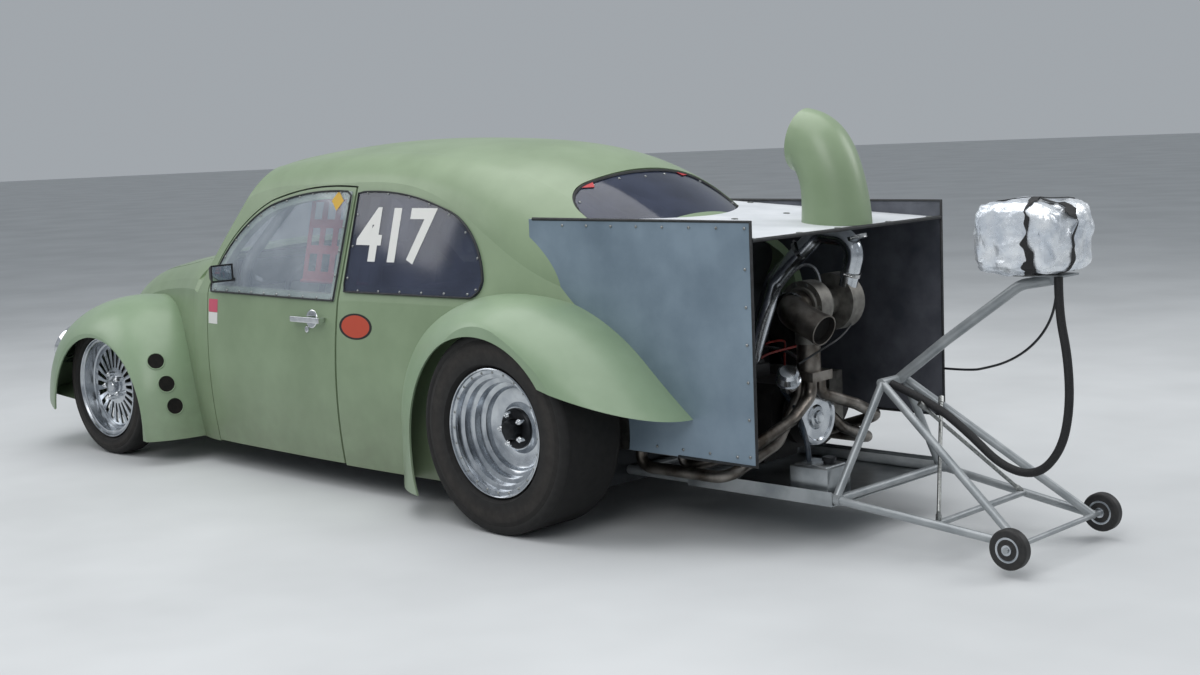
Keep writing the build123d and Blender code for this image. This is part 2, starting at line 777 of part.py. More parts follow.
with BuildPart() as rear_deck:
    with BuildSketch(Plane.XZ):
        with BuildLine():
            Polyline(
                (fore(PANEL_REAR), DECK_REAR_Z),
                (fore(PANEL_FRONT), DECK_FRONT_Z),
                (fore(PANEL_FRONT), DECK_FRONT_Z + SKIN),
                (fore(PANEL_REAR), DECK_REAR_Z + SKIN),
                (fore(PANEL_REAR), DECK_REAR_Z),
            )
        make_face()
    extrude(amount=PANEL_Y, both=True)
    add(BODY_OUTER, mode=Mode.SUBTRACT)

# Air scoop on the deck, a bent funnel that opens forwards
SCOOP_Y = -100
SCOOP_WIDTH = 210
SCOOP_FOOT = (-606, -849)
SCOOP_TOP = 1307
SCOOP_WALL = 5


def scoop_outline(inset):
    """Scoop from the side; the mouth is its front edge."""
    front, rear = SCOOP_FOOT
    foot_z = DECK_REAR_Z + SKIN + 10 - 60
    with BuildLine() as outline:
        Line((fore(front) - inset, foot_z), (fore(front) - inset, foot_z + 95))
        ThreePointArc(
            (fore(front) - inset, foot_z + 95),
            (fore(front + 25), foot_z + 160 + inset),
            (fore(front + 84), 1077 + inset),
        )
        Line((fore(front + 84), 1077 + inset), (fore(front + 70), 1235 - inset))
        ThreePointArc(
            (fore(front + 70), 1235 - inset),
            (fore(front - 20), SCOOP_TOP - 4 - inset),
            (fore(front - 115), SCOOP_TOP - 30 - inset),
        )
        ThreePointArc(
            (fore(front - 115), SCOOP_TOP - 30 - inset),
            (fore(rear + 35) + inset, 1150),
            (fore(rear) + inset, foot_z),
        )
        Line((fore(rear) + inset, foot_z), (fore(front) - inset, foot_z))
    make_face(outline.edges())


def scoop_bulk(inset):
    """Scoop's solid shape, rounded from the side, from above and from the front."""
    half = SCOOP_WIDTH / 2 - inset
    rear = SCOOP_FOOT[1]
    with BuildPart() as bulk:
        with BuildSketch(Plane.XZ.offset(-SCOOP_Y)):
            scoop_outline(inset)
        extrude(amount=half, both=True)
        with BuildSketch(Plane.YZ.offset(fore(rear - 50))):
            with Locations((SCOOP_Y, SCOOP_TOP / 2 - inset)):
                RectangleRounded(2 * half, SCOOP_TOP, 70 - inset)
        extrude(amount=600, mode=Mode.INTERSECT)
        with BuildSketch(Plane.XY):
            with Locations((fore(rear + 200) + inset, SCOOP_Y)):
                RectangleRounded(400, 2 * half, 60 - inset)
        extrude(amount=2000, mode=Mode.INTERSECT)
    return bulk.part


with BuildPart() as air_scoop:
    add(scoop_bulk(0))
    add(scoop_bulk(SCOOP_WALL), mode=Mode.SUBTRACT)
    slab(
        (fore(SCOOP_FOOT[0] + 40), fore(SCOOP_FOOT[0] + 120)),
        (SCOOP_Y - SCOOP_WIDTH / 2 + 22, SCOOP_Y + SCOOP_WIDTH / 2 - 22),
        (1097, 1222),
        Mode.SUBTRACT,
    )
    with BuildSketch(Plane.XZ):
        with BuildLine():
            Polyline(
                (fore(PANEL_REAR) - 200, DECK_REAR_Z + SKIN - 200 * DECK_SLOPE),
                (fore(PANEL_FRONT), DECK_FRONT_Z + SKIN),
                (fore(PANEL_FRONT), 0),
                (fore(PANEL_REAR) - 200, 0),
                (fore(PANEL_REAR) - 200, DECK_REAR_Z + SKIN - 200 * DECK_SLOPE),
            )
        make_face()
    extrude(amount=900, both=True, mode=Mode.SUBTRACT)

# Wheels: outer face of each hub is measured from the car's centre line
FRONT_RIM_W = 98
REAR_RIM_W = 240


def tyre(radius, width, rim_width, out, axle_x, shoulder):
    """Tyre as a revolved section, outer face at a distance from the centre line."""
    bead = rim_width / 2 - 13
    with BuildPart() as solid:
        with BuildSketch(Plane.XY):
            with BuildLine():
                half = width / 2
                Polyline(
                    (bead, RIM_R),
                    (bead, RIM_LIP_R + 2),
                    (half, RIM_LIP_R + 14),
                    (half, radius - shoulder - 14),
                    (half - 5, radius - shoulder),
                )
                ThreePointArc(
                    (half - 5, radius - shoulder),
                    (half - 10, radius - 6),
                    (half - shoulder, radius - 1),
                )
                ThreePointArc(
                    (half - shoulder, radius - 1),
                    (0, radius),
                    (-half + shoulder, radius - 1),
                )
                ThreePointArc(
                    (-half + shoulder, radius - 1),
                    (-half + 10, radius - 6),
                    (-half + 5, radius - shoulder),
                )
                Polyline(
                    (-half + 5, radius - shoulder),
                    (-half, radius - shoulder - 14),
                    (-half, RIM_LIP_R + 14),
                    (-bead, RIM_LIP_R + 2),
                    (-bead, RIM_R),
                    (bead, RIM_R),
                )
            make_face()
        revolve(axis=Axis.X)
    turned = solid.part.rotate(Axis.Z, 90)
    return turned.translate((axle_x, out - width / 2, radius))


with BuildPart() as left_front_tyre:
    add(tyre(FRONT_TYRE_R, FRONT_TYRE_W, FRONT_RIM_W, FRONT_TYRE_OUT, FRONT_AXLE_X, 24))

with BuildPart() as left_rear_tyre:
    add(tyre(REAR_TYRE_R, REAR_TYRE_W, REAR_RIM_W, REAR_TYRE_OUT, REAR_AXLE_X, 30))


def rim(radius, width, disc_out, bore, disc_thick, hub_length):
    """Deep-dish rim revolved about X, its outer lip at x = 0; returns a part."""
    with BuildPart() as solid:
        with BuildSketch(Plane.XY):
            with BuildLine():
                Polyline(
                    (0, RIM_LIP_R),
                    (0, RIM_LIP_R - 6),
                    (-14, radius - 6),
                    (-disc_out + 10, radius - 26),
                    (-disc_out, radius - 70),
                    (-disc_out, HUB_R + 22),
                    (-disc_out + 16, HUB_R),
                    (-disc_out + 16, bore),
                    (-disc_out - hub_length, bore),
                    (-disc_out - hub_length, HUB_R),
                    (-disc_out - disc_thick, HUB_R + 22),
                    (-disc_out - disc_thick, radius - 70),
                    (-disc_out - 6, radius - 30),
                    (-width + 14, radius - 6),
                    (-width, RIM_LIP_R - 6),
                    (-width, RIM_LIP_R),
                    (-width + 6, RIM_LIP_R),
                    (-width + 12, radius),
                    (-12, radius),
                    (-6, RIM_LIP_R),
                    (0, RIM_LIP_R),
                )
            make_face()
        revolve(axis=Axis.X)
    return solid.part


def place_rim(part, out, axle_x, height):
    """Turns a rim's axis across the car and sets its outer lip in place."""
    return part.rotate(Axis.Z, 90).translate((axle_x, out, height))


FRONT_DISC_SET = 62
REAR_DISC_SET = 118

with BuildPart() as left_front_rim:
    add(
        place_rim(
            rim(RIM_R - FIT, FRONT_RIM_W, FRONT_DISC_SET, STUB_R + RUNNING, 8, 30),
            FRONT_TYRE_OUT - (FRONT_TYRE_W - FRONT_RIM_W) / 2,
            FRONT_AXLE_X,
            FRONT_TYRE_R,
        )
    )

with BuildPart() as left_rear_rim:
    add(
        place_rim(
            rim(RIM_R - FIT, REAR_RIM_W, REAR_DISC_SET, STUB_R + RUNNING, 12, 60),
            REAR_TYRE_OUT - (REAR_TYRE_W - REAR_RIM_W) / 2,
            REAR_AXLE_X,
            REAR_TYRE_R,
        )
    )

# Front axle: beam tubes across the car, trailing arms and steered knuckles
BEAM_X = 120                # ahead of the front axle
BEAM_TUBE = 50
BEAM_Z = (215, 335)
BEAM_HALF = 440
KINGPIN_Y = 545
KINGPIN_R = 12
ARM_Y = 470

with BuildPart() as front_beam:
    for height in BEAM_Z:
        bar(
            (FRONT_AXLE_X + BEAM_X, -BEAM_HALF, height),
            (FRONT_AXLE_X + BEAM_X, BEAM_HALF, height),
            BEAM_TUBE,
        )
    for side in (1, -1):
        for y in (200, 400):
            slab(
                (FRONT_AXLE_X + BEAM_X - 20, FRONT_AXLE_X + BEAM_X + 20),
                (side * y - 4, side * y + 4),
                (BEAM_Z[0], BEAM_Z[1]),
            )
        slab(
            (FRONT_AXLE_X + BEAM_X - 30, FRONT_AXLE_X + BEAM_X + 30),
            (side * 200 - 40, side * 200 + 40),
            (BEAM_Z[1], FRONT_FLOOR_Z + 1),
        )
        for height in BEAM_Z:
            bar(
                (FRONT_AXLE_X + BEAM_X, side * ARM_Y, height),
                (FRONT_AXLE_X, side * ARM_Y, height),
                34,
            )
            bar(
                (FRONT_AXLE_X + BEAM_X, side * (BEAM_HALF - 5), height),
                (FRONT_AXLE_X + BEAM_X, side * (ARM_Y + 17), height),
                36,
            )
            bar(
                (FRONT_AXLE_X, side * ARM_Y, height),
                (FRONT_AXLE_X, side * (KINGPIN_Y - 30), height),
                30,
            )
        bar(
            (FRONT_AXLE_X, side * (KINGPIN_Y - 44), BEAM_Z[0] - 18),
            (FRONT_AXLE_X, side * (KINGPIN_Y - 44), BEAM_Z[1] + 18),
            24,
        )
    for side in (1, -1):
        for height in BEAM_Z:
            slab(
                (FRONT_AXLE_X - 14, FRONT_AXLE_X + 14),
                sorted((side * (KINGPIN_Y - 44), side * (KINGPIN_Y + 14))),
                (height - 7, height + 7),
            )
        bar(
            (FRONT_AXLE_X, side * KINGPIN_Y, BEAM_Z[0] - 7),
            (FRONT_AXLE_X, side * KINGPIN_Y, BEAM_Z[1] + 7),
            2 * KINGPIN_R,
        )

FRONT_HUB_BACK = FRONT_TYRE_OUT - (FRONT_TYRE_W - FRONT_RIM_W) / 2 - FRONT_DISC_SET - 30

with BuildPart() as left_knuckle:
    bar(
        (FRONT_AXLE_X, KINGPIN_Y, BEAM_Z[0] + 10),
        (FRONT_AXLE_X, KINGPIN_Y, BEAM_Z[1] - 10),
        2 * KINGPIN_R + 22,
    )
    bar(
        (FRONT_AXLE_X, KINGPIN_Y, FRONT_TYRE_R),
        (FRONT_AXLE_X, FRONT_HUB_BACK - FIT, FRONT_TYRE_R),
        46,
    )
    bar(
        (FRONT_AXLE_X, KINGPIN_Y, FRONT_TYRE_R),
        (FRONT_AXLE_X, FRONT_HUB_BACK + 44, FRONT_TYRE_R),
        2 * STUB_R,
    )
    bar(
        (FRONT_AXLE_X, KINGPIN_Y, FRONT_TYRE_R - 40),
        (FRONT_AXLE_X - 90, KINGPIN_Y - 20, FRONT_TYRE_R - 40),
        20,
    )
    with BuildSketch(Plane(origin=(FRONT_AXLE_X, KINGPIN_Y, 0), z_dir=(0, 0, 1))):
        Circle(KINGPIN_R + RUNNING)
    extrude(amount=600, mode=Mode.SUBTRACT)

# Rear axle and gearbox
REAR_HUB_BACK = REAR_TYRE_OUT - (REAR_TYRE_W - REAR_RIM_W) / 2 - REAR_DISC_SET - 60

with BuildPart() as gearbox:
    bar((fore(-170), 0, REAR_TYRE_R), (fore(-60), 0, REAR_TYRE_R), 2 * GEARBOX_R)
    bar((fore(-60), 0, REAR_TYRE_R), (fore(240), 0, REAR_TYRE_R), 200)
    bar((fore(240), 0, REAR_TYRE_R), (fore(330), 0, REAR_TYRE_R), 120)
    bar((REAR_AXLE_X, -160, REAR_TYRE_R), (REAR_AXLE_X, 160, REAR_TYRE_R), 210)

with BuildPart() as axle_tubes:
    for side in (1, -1):
        bar(
            (REAR_AXLE_X, side * 160, REAR_TYRE_R),
            (REAR_AXLE_X, side * (REAR_HUB_BACK - 20), REAR_TYRE_R),
            90,
        )
        bar(
            (REAR_AXLE_X, side * (REAR_HUB_BACK - 30), REAR_TYRE_R),
            (REAR_AXLE_X, side * (REAR_HUB_BACK - 5), REAR_TYRE_R),
            200,
        )
        bar(
            (REAR_AXLE_X, side * (REAR_HUB_BACK - 30), REAR_TYRE_R),
            (REAR_AXLE_X, side * (REAR_HUB_BACK + 74), REAR_TYRE_R),
            2 * STUB_R,
        )

# Open engine: crankcase with finned cylinders, pipes and turbocharger
CRANK_Z = 330
CASE_X = (-620, -170)
CASE_HALF = 120
CYLINDER_X = (-300, -440)
CYLINDER_R = 62
CYLINDER_TIP = 330
FIN_PITCH = 14

with BuildPart() as engine_case:
    slab((fore(CASE_X[0]), fore(CASE_X[1])), (-CASE_HALF, CASE_HALF), (CRANK_Z - 110, CRANK_Z + 110))
    chamfer(engine_case.edges().filter_by(Axis.X), 30)
    slab((fore(CASE_X[0]) + 60, fore(CASE_X[1]) - 60), (-90, 90), (CRANK_Z - 150, CRANK_Z - 100))
    bar((fore(CASE_X[0]), 0, CRANK_Z), (fore(CASE_X[0]) - 18, 0, CRANK_Z), 60)
    bar((fore(CASE_X[0]) - 18, 0, CRANK_Z), (fore(CASE_X[0]) - 40, 0, CRANK_Z), 180)

with BuildPart() as cylinder_banks:
    for side in (1, -1):
        for x in CYLINDER_X:
            bar(
                (fore(x), side * CASE_HALF, CRANK_Z),
                (fore(x), side * CYLINDER_TIP, CRANK_Z),
                2 * CYLINDER_R - 16,
            )
            fins = int((CYLINDER_TIP - CASE_HALF - 20) / FIN_PITCH)
            for fin in range(fins):
                out = CASE_HALF + 14 + fin * FIN_PITCH
                bar((fore(x), side * out, CRANK_Z), (fore(x), side * (out + 5), CRANK_Z), 2 * CYLINDER_R)
        slab(
            (fore(min(CYLINDER_X) - 80), fore(max(CYLINDER_X) + 80)),
            sorted((side * CYLINDER_TIP, side * (CYLINDER_TIP + 75))),
            (CRANK_Z - 85, CRANK_Z + 85),
        )

# Frame behind the bulkhead: rails, tray and the hoop that carries the bars and the chute
RAIL_Y = 285
RAIL_Z = 150
RAIL_REAR = -1000
HOOP_X = -1000
HOOP_Z = 470

with BuildPart() as engine_cradle:
    for side in (1, -1):
        bar(
            (fore(BULKHEAD_X) - SKIN, side * RAIL_Y, RAIL_Z),
            (fore(RAIL_REAR), side * RAIL_Y, RAIL_Z),
            RAIL_TUBE,
        )
        bar(
            (fore(RAIL_REAR + 20), side * RAIL_Y, RAIL_Z),
            (fore(HOOP_X), side * 60, HOOP_Z),
            BAR_TUBE,
        )
    for x in (BULKHEAD_X - 20, -420, RAIL_REAR + 20):
        bar((fore(x), -RAIL_Y, RAIL_Z), (fore(x), RAIL_Y, RAIL_Z), BAR_TUBE)
    bar((fore(HOOP_X), -70, HOOP_Z), (fore(HOOP_X), 70, HOOP_Z), BAR_TUBE + 4)


TRAY_X = (-980, -420)
TRAY_Z = RAIL_Z - RAIL_TUBE / 2 - SKIN
TRAY_HALF = RAIL_Y + RAIL_TUBE / 2 + SKIN
TRAY_SIDE = 44

with BuildPart() as belly_tray:
    slab((fore(TRAY_X[0]), fore(TRAY_X[1])), (-TRAY_HALF, TRAY_HALF), (TRAY_Z, TRAY_Z + SKIN))
    for side in (1, -1):
        slab(
            (fore(TRAY_X[0]), fore(TRAY_X[1])),
            sorted((side * TRAY_HALF, side * (TRAY_HALF - SKIN))),
            (TRAY_Z, TRAY_Z + TRAY_SIDE),
        )

# Turbocharger and its pipes
TURBO_X = -705
TURBO_Z = 690
TURBO_Y = -40
PRIMARY = 38                # exhaust pipe from each cylinder

with BuildPart() as turbocharger:
    drum((fore(TURBO_X), TURBO_Y - 75, TURBO_Z), 92, 56)
    drum((fore(TURBO_X), TURBO_Y + 70, TURBO_Z), 80, 56)
    drum((fore(TURBO_X), TURBO_Y, TURBO_Z), 42, 110)
    bar((fore(TURBO_X), TURBO_Y - 103, TURBO_Z), (fore(TURBO_X), TURBO_Y - 140, TURBO_Z), 90)
    bar((fore(TURBO_X), TURBO_Y + 70, TURBO_Z - 60), (fore(TURBO_X), TURBO_Y + 70, TURBO_Z - 120), 84)

with BuildPart() as charge_pipe:
    tube(
        [
            (fore(TURBO_X) - 50, TURBO_Y - 75, TURBO_Z + 50),
            (fore(TURBO_X) - 95, TURBO_Y - 75, TURBO_Z + 200),
            (fore(TURBO_X) + 60, TURBO_Y - 75, TURBO_Z + 215),
            (fore(TURBO_X) + 200, TURBO_Y - 20, TURBO_Z + 60),
            (fore(TURBO_X) + 280, 0, CRANK_Z + 111),
        ],
        60,
        62,
    )
    add(engine_case.part, mode=Mode.SUBTRACT)
    add(turbocharger.part, mode=Mode.SUBTRACT)

with BuildPart() as header_pipes:
    collector = (fore(TURBO_X), TURBO_Y + 70)
    bar((*collector, TURBO_Z - 210), (*collector, TURBO_Z - 120 - FIT), 2 * PRIMARY)
    slab(
        (collector[0] - 52, collector[0] + 52),
        (collector[1] - 52, collector[1] + 52),
        (TURBO_Z - 235, TURBO_Z - 205),
    )
    for side in (1, -1):
        for index, x in enumerate(CYLINDER_X):
            back = fore(CASE_X[0] - 30 - 60 * index)
            out = CYLINDER_TIP + 56 - 44 * index
            end = (collector[0] + 24 - 48 * index, collector[1] + side * 24)
            tube(
                [
                    (fore(x), side * out, CRANK_Z - 50),
                    (fore(x), side * out, CRANK_Z - 136),
                    (back, side * out, CRANK_Z - 136 + 90 * index),
                    (back - 30, side * 170, CRANK_Z - 60 + 80 * index),
                    (*end, TURBO_Z - 280),
                    (*end, TURBO_Z - 220),
                ],
                60,
                PRIMARY,
            )
    add(cylinder_banks.part, mode=Mode.SUBTRACT)

with BuildPart() as dump_pipe:
    tube(
        [
            (fore(TURBO_X), TURBO_Y + 42, TURBO_Z),
            (fore(TURBO_X), TURBO_Y + 182, TURBO_Z),
            (fore(TURBO_X - 130), TURBO_Y + 190, TURBO_Z - 50),
        ],
        60,
        96,
    )
    add(turbocharger.part, mode=Mode.SUBTRACT)

# Wheelie bars and their small wheels
BAR_WHEEL_X = -1548
BAR_WHEEL_Y = 267
BAR_WHEEL_Z = 80
BAR_WHEEL_R = 58
BAR_WHEEL_W = 34
BAR_PIN_R = 8

with BuildPart() as wheelie_bars:
    bar(
        (fore(BAR_WHEEL_X), -BAR_WHEEL_Y - 26, BAR_WHEEL_Z),
        (fore(BAR_WHEEL_X), BAR_WHEEL_Y + 26, BAR_WHEEL_Z),
        2 * BAR_PIN_R,
    )
    for side in (1, -1):
        bar(
            (fore(RAIL_REAR + 10), side * RAIL_Y, RAIL_Z),
            (fore(BAR_WHEEL_X), side * (BAR_WHEEL_Y - 46), BAR_WHEEL_Z),
            BAR_TUBE,
        )
        bar(
            (fore(HOOP_X), side * 60, HOOP_Z),
            (fore(BAR_WHEEL_X), side * (BAR_WHEEL_Y - 56), BAR_WHEEL_Z),
            BAR_TUBE,
        )
    bar(
        (fore(-1300), -RAIL_Y + 30, 112),
        (fore(-1300), RAIL_Y - 30, 112),
        BAR_TUBE - 5,
    )
    add(engine_cradle.part, mode=Mode.SUBTRACT)

with BuildPart() as left_bar_wheel:
    drum((fore(BAR_WHEEL_X), BAR_WHEEL_Y, BAR_WHEEL_Z), BAR_WHEEL_R, BAR_WHEEL_W)
    fillet(left_bar_wheel.edges().filter_by(GeomType.CIRCLE), 8)
    with BuildSketch(Plane.XZ) as bore:
        with Locations((fore(BAR_WHEEL_X), BAR_WHEEL_Z)):
            Circle(BAR_PIN_R + RUNNING)
    extrude(bore.sketch, amount=-600, mode=Mode.SUBTRACT)

# Brake parachute: pack, its mount and strap
PACK_SIZE = (280, 290, 230)
PACK_X = PACK_SIZE[0] / 2 - TAIL_REACH
PACK_FLOOR = 810
STRAP = 25
MOUNT_Y = -28
STRAP_Y = 32
CABLE = 8
HOOP_TUBE = BAR_TUBE + 4

with BuildPart() as chute_pack:
    with BuildSketch(Plane.XY.offset(PACK_FLOOR)):
        with Locations((fore(PACK_X), 0)):
            RectangleRounded(PACK_SIZE[0], PACK_SIZE[1], 60)
    extrude(amount=PACK_SIZE[2])
    fillet(chute_pack.faces().sort_by(Axis.Z)[0].edges(), 25)
    fillet(chute_pack.faces().sort_by(Axis.Z)[-1].edges(), 45)

with BuildPart() as chute_mount:
    tube(
        [
            (fore(HOOP_X), MOUNT_Y, HOOP_Z),
            (fore(HOOP_X - 170), MOUNT_Y, HOOP_Z + 130),
            (fore(PACK_X + 60), MOUNT_Y, PACK_FLOOR - 34),
            (fore(PACK_X - 40), MOUNT_Y, PACK_FLOOR - 16),
        ],
        100,
        RAIL_TUBE,
    )
    slab(
        (fore(PACK_X - 90), fore(PACK_X + 90)),
        (-90, 10),
        (PACK_FLOOR - 6, PACK_FLOOR - FIT),
    )
    slab(
        (fore(PACK_X - 300), fore(PACK_X + 200)),
        (-200, 200),
        (PACK_FLOOR - FIT, PACK_FLOOR + 60),
        Mode.SUBTRACT,
    )
    add(engine_cradle.part, mode=Mode.SUBTRACT)

STRAP_END = (HOOP_TUBE / 2 + FIT) / sqrt(160**2 + 52**2)
STRAP_ROUTE = [
    (fore(-1572), STRAP_Y, PACK_FLOOR - FIT),
    (fore(-1572), STRAP_Y, 712),
    (fore(-1600), STRAP_Y, 582),
    (fore(-1605), STRAP_Y, 440),
    (fore(-1578), STRAP_Y, 318),
    (fore(-1502), STRAP_Y, 236),
    (fore(-1390), STRAP_Y, 250),
    (fore(-1282), STRAP_Y, 338),
    (fore(HOOP_X - 160), STRAP_Y, HOOP_Z - 52),
    (fore(HOOP_X - 160 * STRAP_END), STRAP_Y, HOOP_Z - 52 * STRAP_END),
]
CABLE_END_Y = -PANEL_Y - SKIN / 2
CABLE_ROUTE = [
    (fore(-1490), -110, PACK_FLOOR - FIT),
    (fore(-1490), -110, 752),
    (fore(-1468), -128, 684),
    (fore(-1416), -168, 622),
    (fore(-1340), -226, 566),
    (fore(-1252), -292, 520),
    (fore(-1160), -364, 484),
    (fore(-1066), -434, 456),
    (fore(-968), CABLE_END_Y, 430),
    (fore(PANEL_REAR) - FIT, CABLE_END_Y, 430),
]
NO_LIMIT = 10000

with BuildPart() as chute_strap:
    tube(STRAP_ROUTE, NO_LIMIT, STRAP)

with BuildPart() as release_cable:
    tube(CABLE_ROUTE, NO_LIMIT, CABLE)

for label, route, cord in (
    ("strap", STRAP_ROUTE, chute_strap),
    ("cable", CABLE_ROUTE, release_cable),
):
    print(label, "radii", [round(radius) for radius in corner_radii(route, NO_LIMIT)])
    print(label, "volume", round(cord.part.volume))

# Cabin: cage, seat and steering wheel
HOOP_STATION = 870
SEAT_Y = 300

with BuildPart() as roll_cage:
    tube(
        [
            (fore(HOOP_STATION), -500, FLOOR_Z + SKIN),
            (fore(HOOP_STATION), -500, 690),
            (fore(HOOP_STATION), -405, 1085),
            (fore(HOOP_STATION), -250, 1158),
            (fore(HOOP_STATION), 250, 1158),
            (fore(HOOP_STATION), 405, 1085),
            (fore(HOOP_STATION), 500, 690),
            (fore(HOOP_STATION), 500, FLOOR_Z + SKIN),
        ],
        110,
        CAGE_TUBE,
    )
    for side in (1, -1):
        tube(
            [
                (fore(HOOP_STATION), side * 400, 1088),
                (fore(1410), side * 385, 1080),
                (fore(1690), side * 470, 790),
                (fore(1745), side * 490, FLOOR_Z + SKIN),
            ],
            150,
            CAGE_TUBE,
        )
        bar((fore(HOOP_STATION), side * 498, 560), (fore(1738), side * 486, 240), CAGE_TUBE)
        bar((fore(HOOP_STATION), side * 300, 1130), (fore(BULKHEAD_X + 30), side * 380, 690), CAGE_TUBE)
        slab(
            (fore(BULKHEAD_X), fore(BULKHEAD_X + 50)),
            sorted((side * 345, side * 415)),
            (630, 690),
        )
    bar((fore(HOOP_STATION), -485, 700), (fore(HOOP_STATION), 485, 700), CAGE_TUBE)
    bar((fore(HOOP_STATION), -490, 180), (fore(HOOP_STATION), 380, 1090), CAGE_TUBE)
    cut_below(FLOOR_Z + SKIN)

with BuildPart() as seat:
    with BuildSketch(Plane.XZ.offset(-SEAT_Y)):
        with BuildLine():
            Polyline(
                (fore(1430), 150),
                (fore(1440), 285),
                (fore(1200), 320),
                (fore(1050), 800),
                (fore(930), 800),
                (fore(1080), 150),
                (fore(1430), 150),
            )
        make_face()
    extrude(amount=165, both=True)
    with BuildSketch(Plane.XZ.offset(-SEAT_Y)):
        with BuildLine():
            Polyline(
                (fore(1500), 210),
                (fore(1140), 185),
                (fore(968), 770),
                (fore(940), 1000),
                (fore(1500), 1000),
                (fore(1500), 210),
            )
        make_face()
    extrude(amount=150, both=True, mode=Mode.SUBTRACT)
    for x in (1110, 1400):
        slab(
            (fore(x - 15), fore(x + 15)),
            (SEAT_Y - 150, SEAT_Y + 150),
            (FLOOR_Z + SKIN, 150),
        )

WHEEL_CENTRE = (fore(1450), SEAT_Y, 640)
WHEEL_TILT = 22

with BuildPart() as steering_wheel:
    rake = radians(WHEEL_TILT)
    towards = Vector(cos(rake), 0, -sin(rake))
    centre = Vector(*WHEEL_CENTRE)
    wheel_plane = Plane(origin=centre, x_dir=(0, 1, 0), z_dir=towards)
    grip_plane = Plane(
        origin=centre + Vector(0, 150, 0),
        x_dir=towards,
        z_dir=(sin(rake), 0, cos(rake)),
    )
    with BuildSketch(grip_plane):
        Circle(12)
    revolve(axis=Axis(centre, towards))
    with BuildSketch(wheel_plane):
        for turn in (0, 120, 240):
            with PolarLocations(0, 1, start_angle=turn):
                with Locations((74, 0)):
                    Rectangle(150, 26)
    extrude(amount=4)
    bar(centre, centre + towards * 540, 34)
    slab((fore(COWL - 25), fore(COWL + 200)), (0, 600), (0, 900), Mode.SUBTRACT)

# Window net behind the left door's rear half, hung from the cage
NET_TOP = (414, 1070)
NET_FOOT = (492, 742)

with BuildPart() as window_net:
    drop = Vector(0, NET_FOOT[0] - NET_TOP[0], NET_FOOT[1] - NET_TOP[1])
    net_plane = Plane(
        origin=(fore(1130), (NET_TOP[0] + NET_FOOT[0]) / 2, (NET_TOP[1] + NET_FOOT[1]) / 2),
        x_dir=(1, 0, 0),
        z_dir=Vector(1, 0, 0).cross(drop),
    )
    with BuildSketch(net_plane):
        Rectangle(330, drop.length)
        with GridLocations(78, 98, 4, 3):
            Rectangle(48, 66, mode=Mode.SUBTRACT)
    extrude(amount=1.5, both=True)
    bar((fore(HOOP_STATION), *NET_FOOT), (fore(1300), *NET_FOOT), 14)
    add(roll_cage.part, mode=Mode.SUBTRACT)

# Right-hand pieces are the left-hand ones mirrored
MIRRORED = [
    left_door,
    left_door_pane,
    left_quarter,
    left_quarter_pane,
    left_front_fender,
    left_rear_fender,
    left_wheel_tub,
    left_side_panel,
    left_front_tyre,
    left_rear_tyre,
    left_front_rim,
    left_rear_rim,
    left_knuckle,
    left_bar_wheel,
]
NAMES = [
    "door",
    "door_pane",
    "quarter",
    "quarter_pane",
    "front_fender",
    "rear_fender",
    "wheel_tub",
    "side_panel",
    "front_tyre",
    "rear_tyre",
    "front_rim",
    "rear_rim",
    "knuckle",
    "bar_wheel",
]
for name, piece in zip(NAMES, MIRRORED):
    piece.part.label = "left_" + name
    export_step(piece.part, f"parts/left_{name}.step")
    other = mirror(piece.part, Plane.XZ)
    other.label = "right_" + name
    export_step(other, f"parts/right_{name}.step")

CENTRAL = {
    "roof_panel": roof_panel,
    "windscreen": windscreen,
    "rear_window": rear_window,
    "front_body": front_body,
    "front_lid": front_lid,
    "floor_pan": floor_pan,
    "rear_bulkhead": rear_bulkhead,
    "rear_deck": rear_deck,
    "air_scoop": air_scoop,
    "front_beam": front_beam,
    "gearbox": gearbox,
    "axle_tubes": axle_tubes,
    "engine_case": engine_case,
    "cylinder_banks": cylinder_banks,
    "engine_cradle": engine_cradle,
    "belly_tray": belly_tray,
    "turbocharger": turbocharger,
    "charge_pipe": charge_pipe,
    "header_pipes": header_pipes,
    "dump_pipe": dump_pipe,
    "wheelie_bars": wheelie_bars,
    "chute_pack": chute_pack,
    "chute_mount": chute_mount,
    "chute_strap": chute_strap,
    "release_cable": release_cable,
    "roll_cage": roll_cage,
    "seat": seat,
    "steering_wheel": steering_wheel,
    "window_net": window_net,
}
for label, piece in CENTRAL.items():
    piece.part.label = label
    export_step(piece.part, f"parts/{label}.step")
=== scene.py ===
# %% [markdown]
# # A rear-engined drag racing saloon
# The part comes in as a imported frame: every rigid piece, at its real size, in metres, with
# +X forward, +Y to the car's left and +Z up. This lesson gives those pieces their finishes
# and adds what a closer look finds: rivets, trim, seams, hoses, webbing and foil.

import bpy
import bmesh
import math
from mathutils import Matrix, Vector
from mathutils.geometry import convex_hull_2d


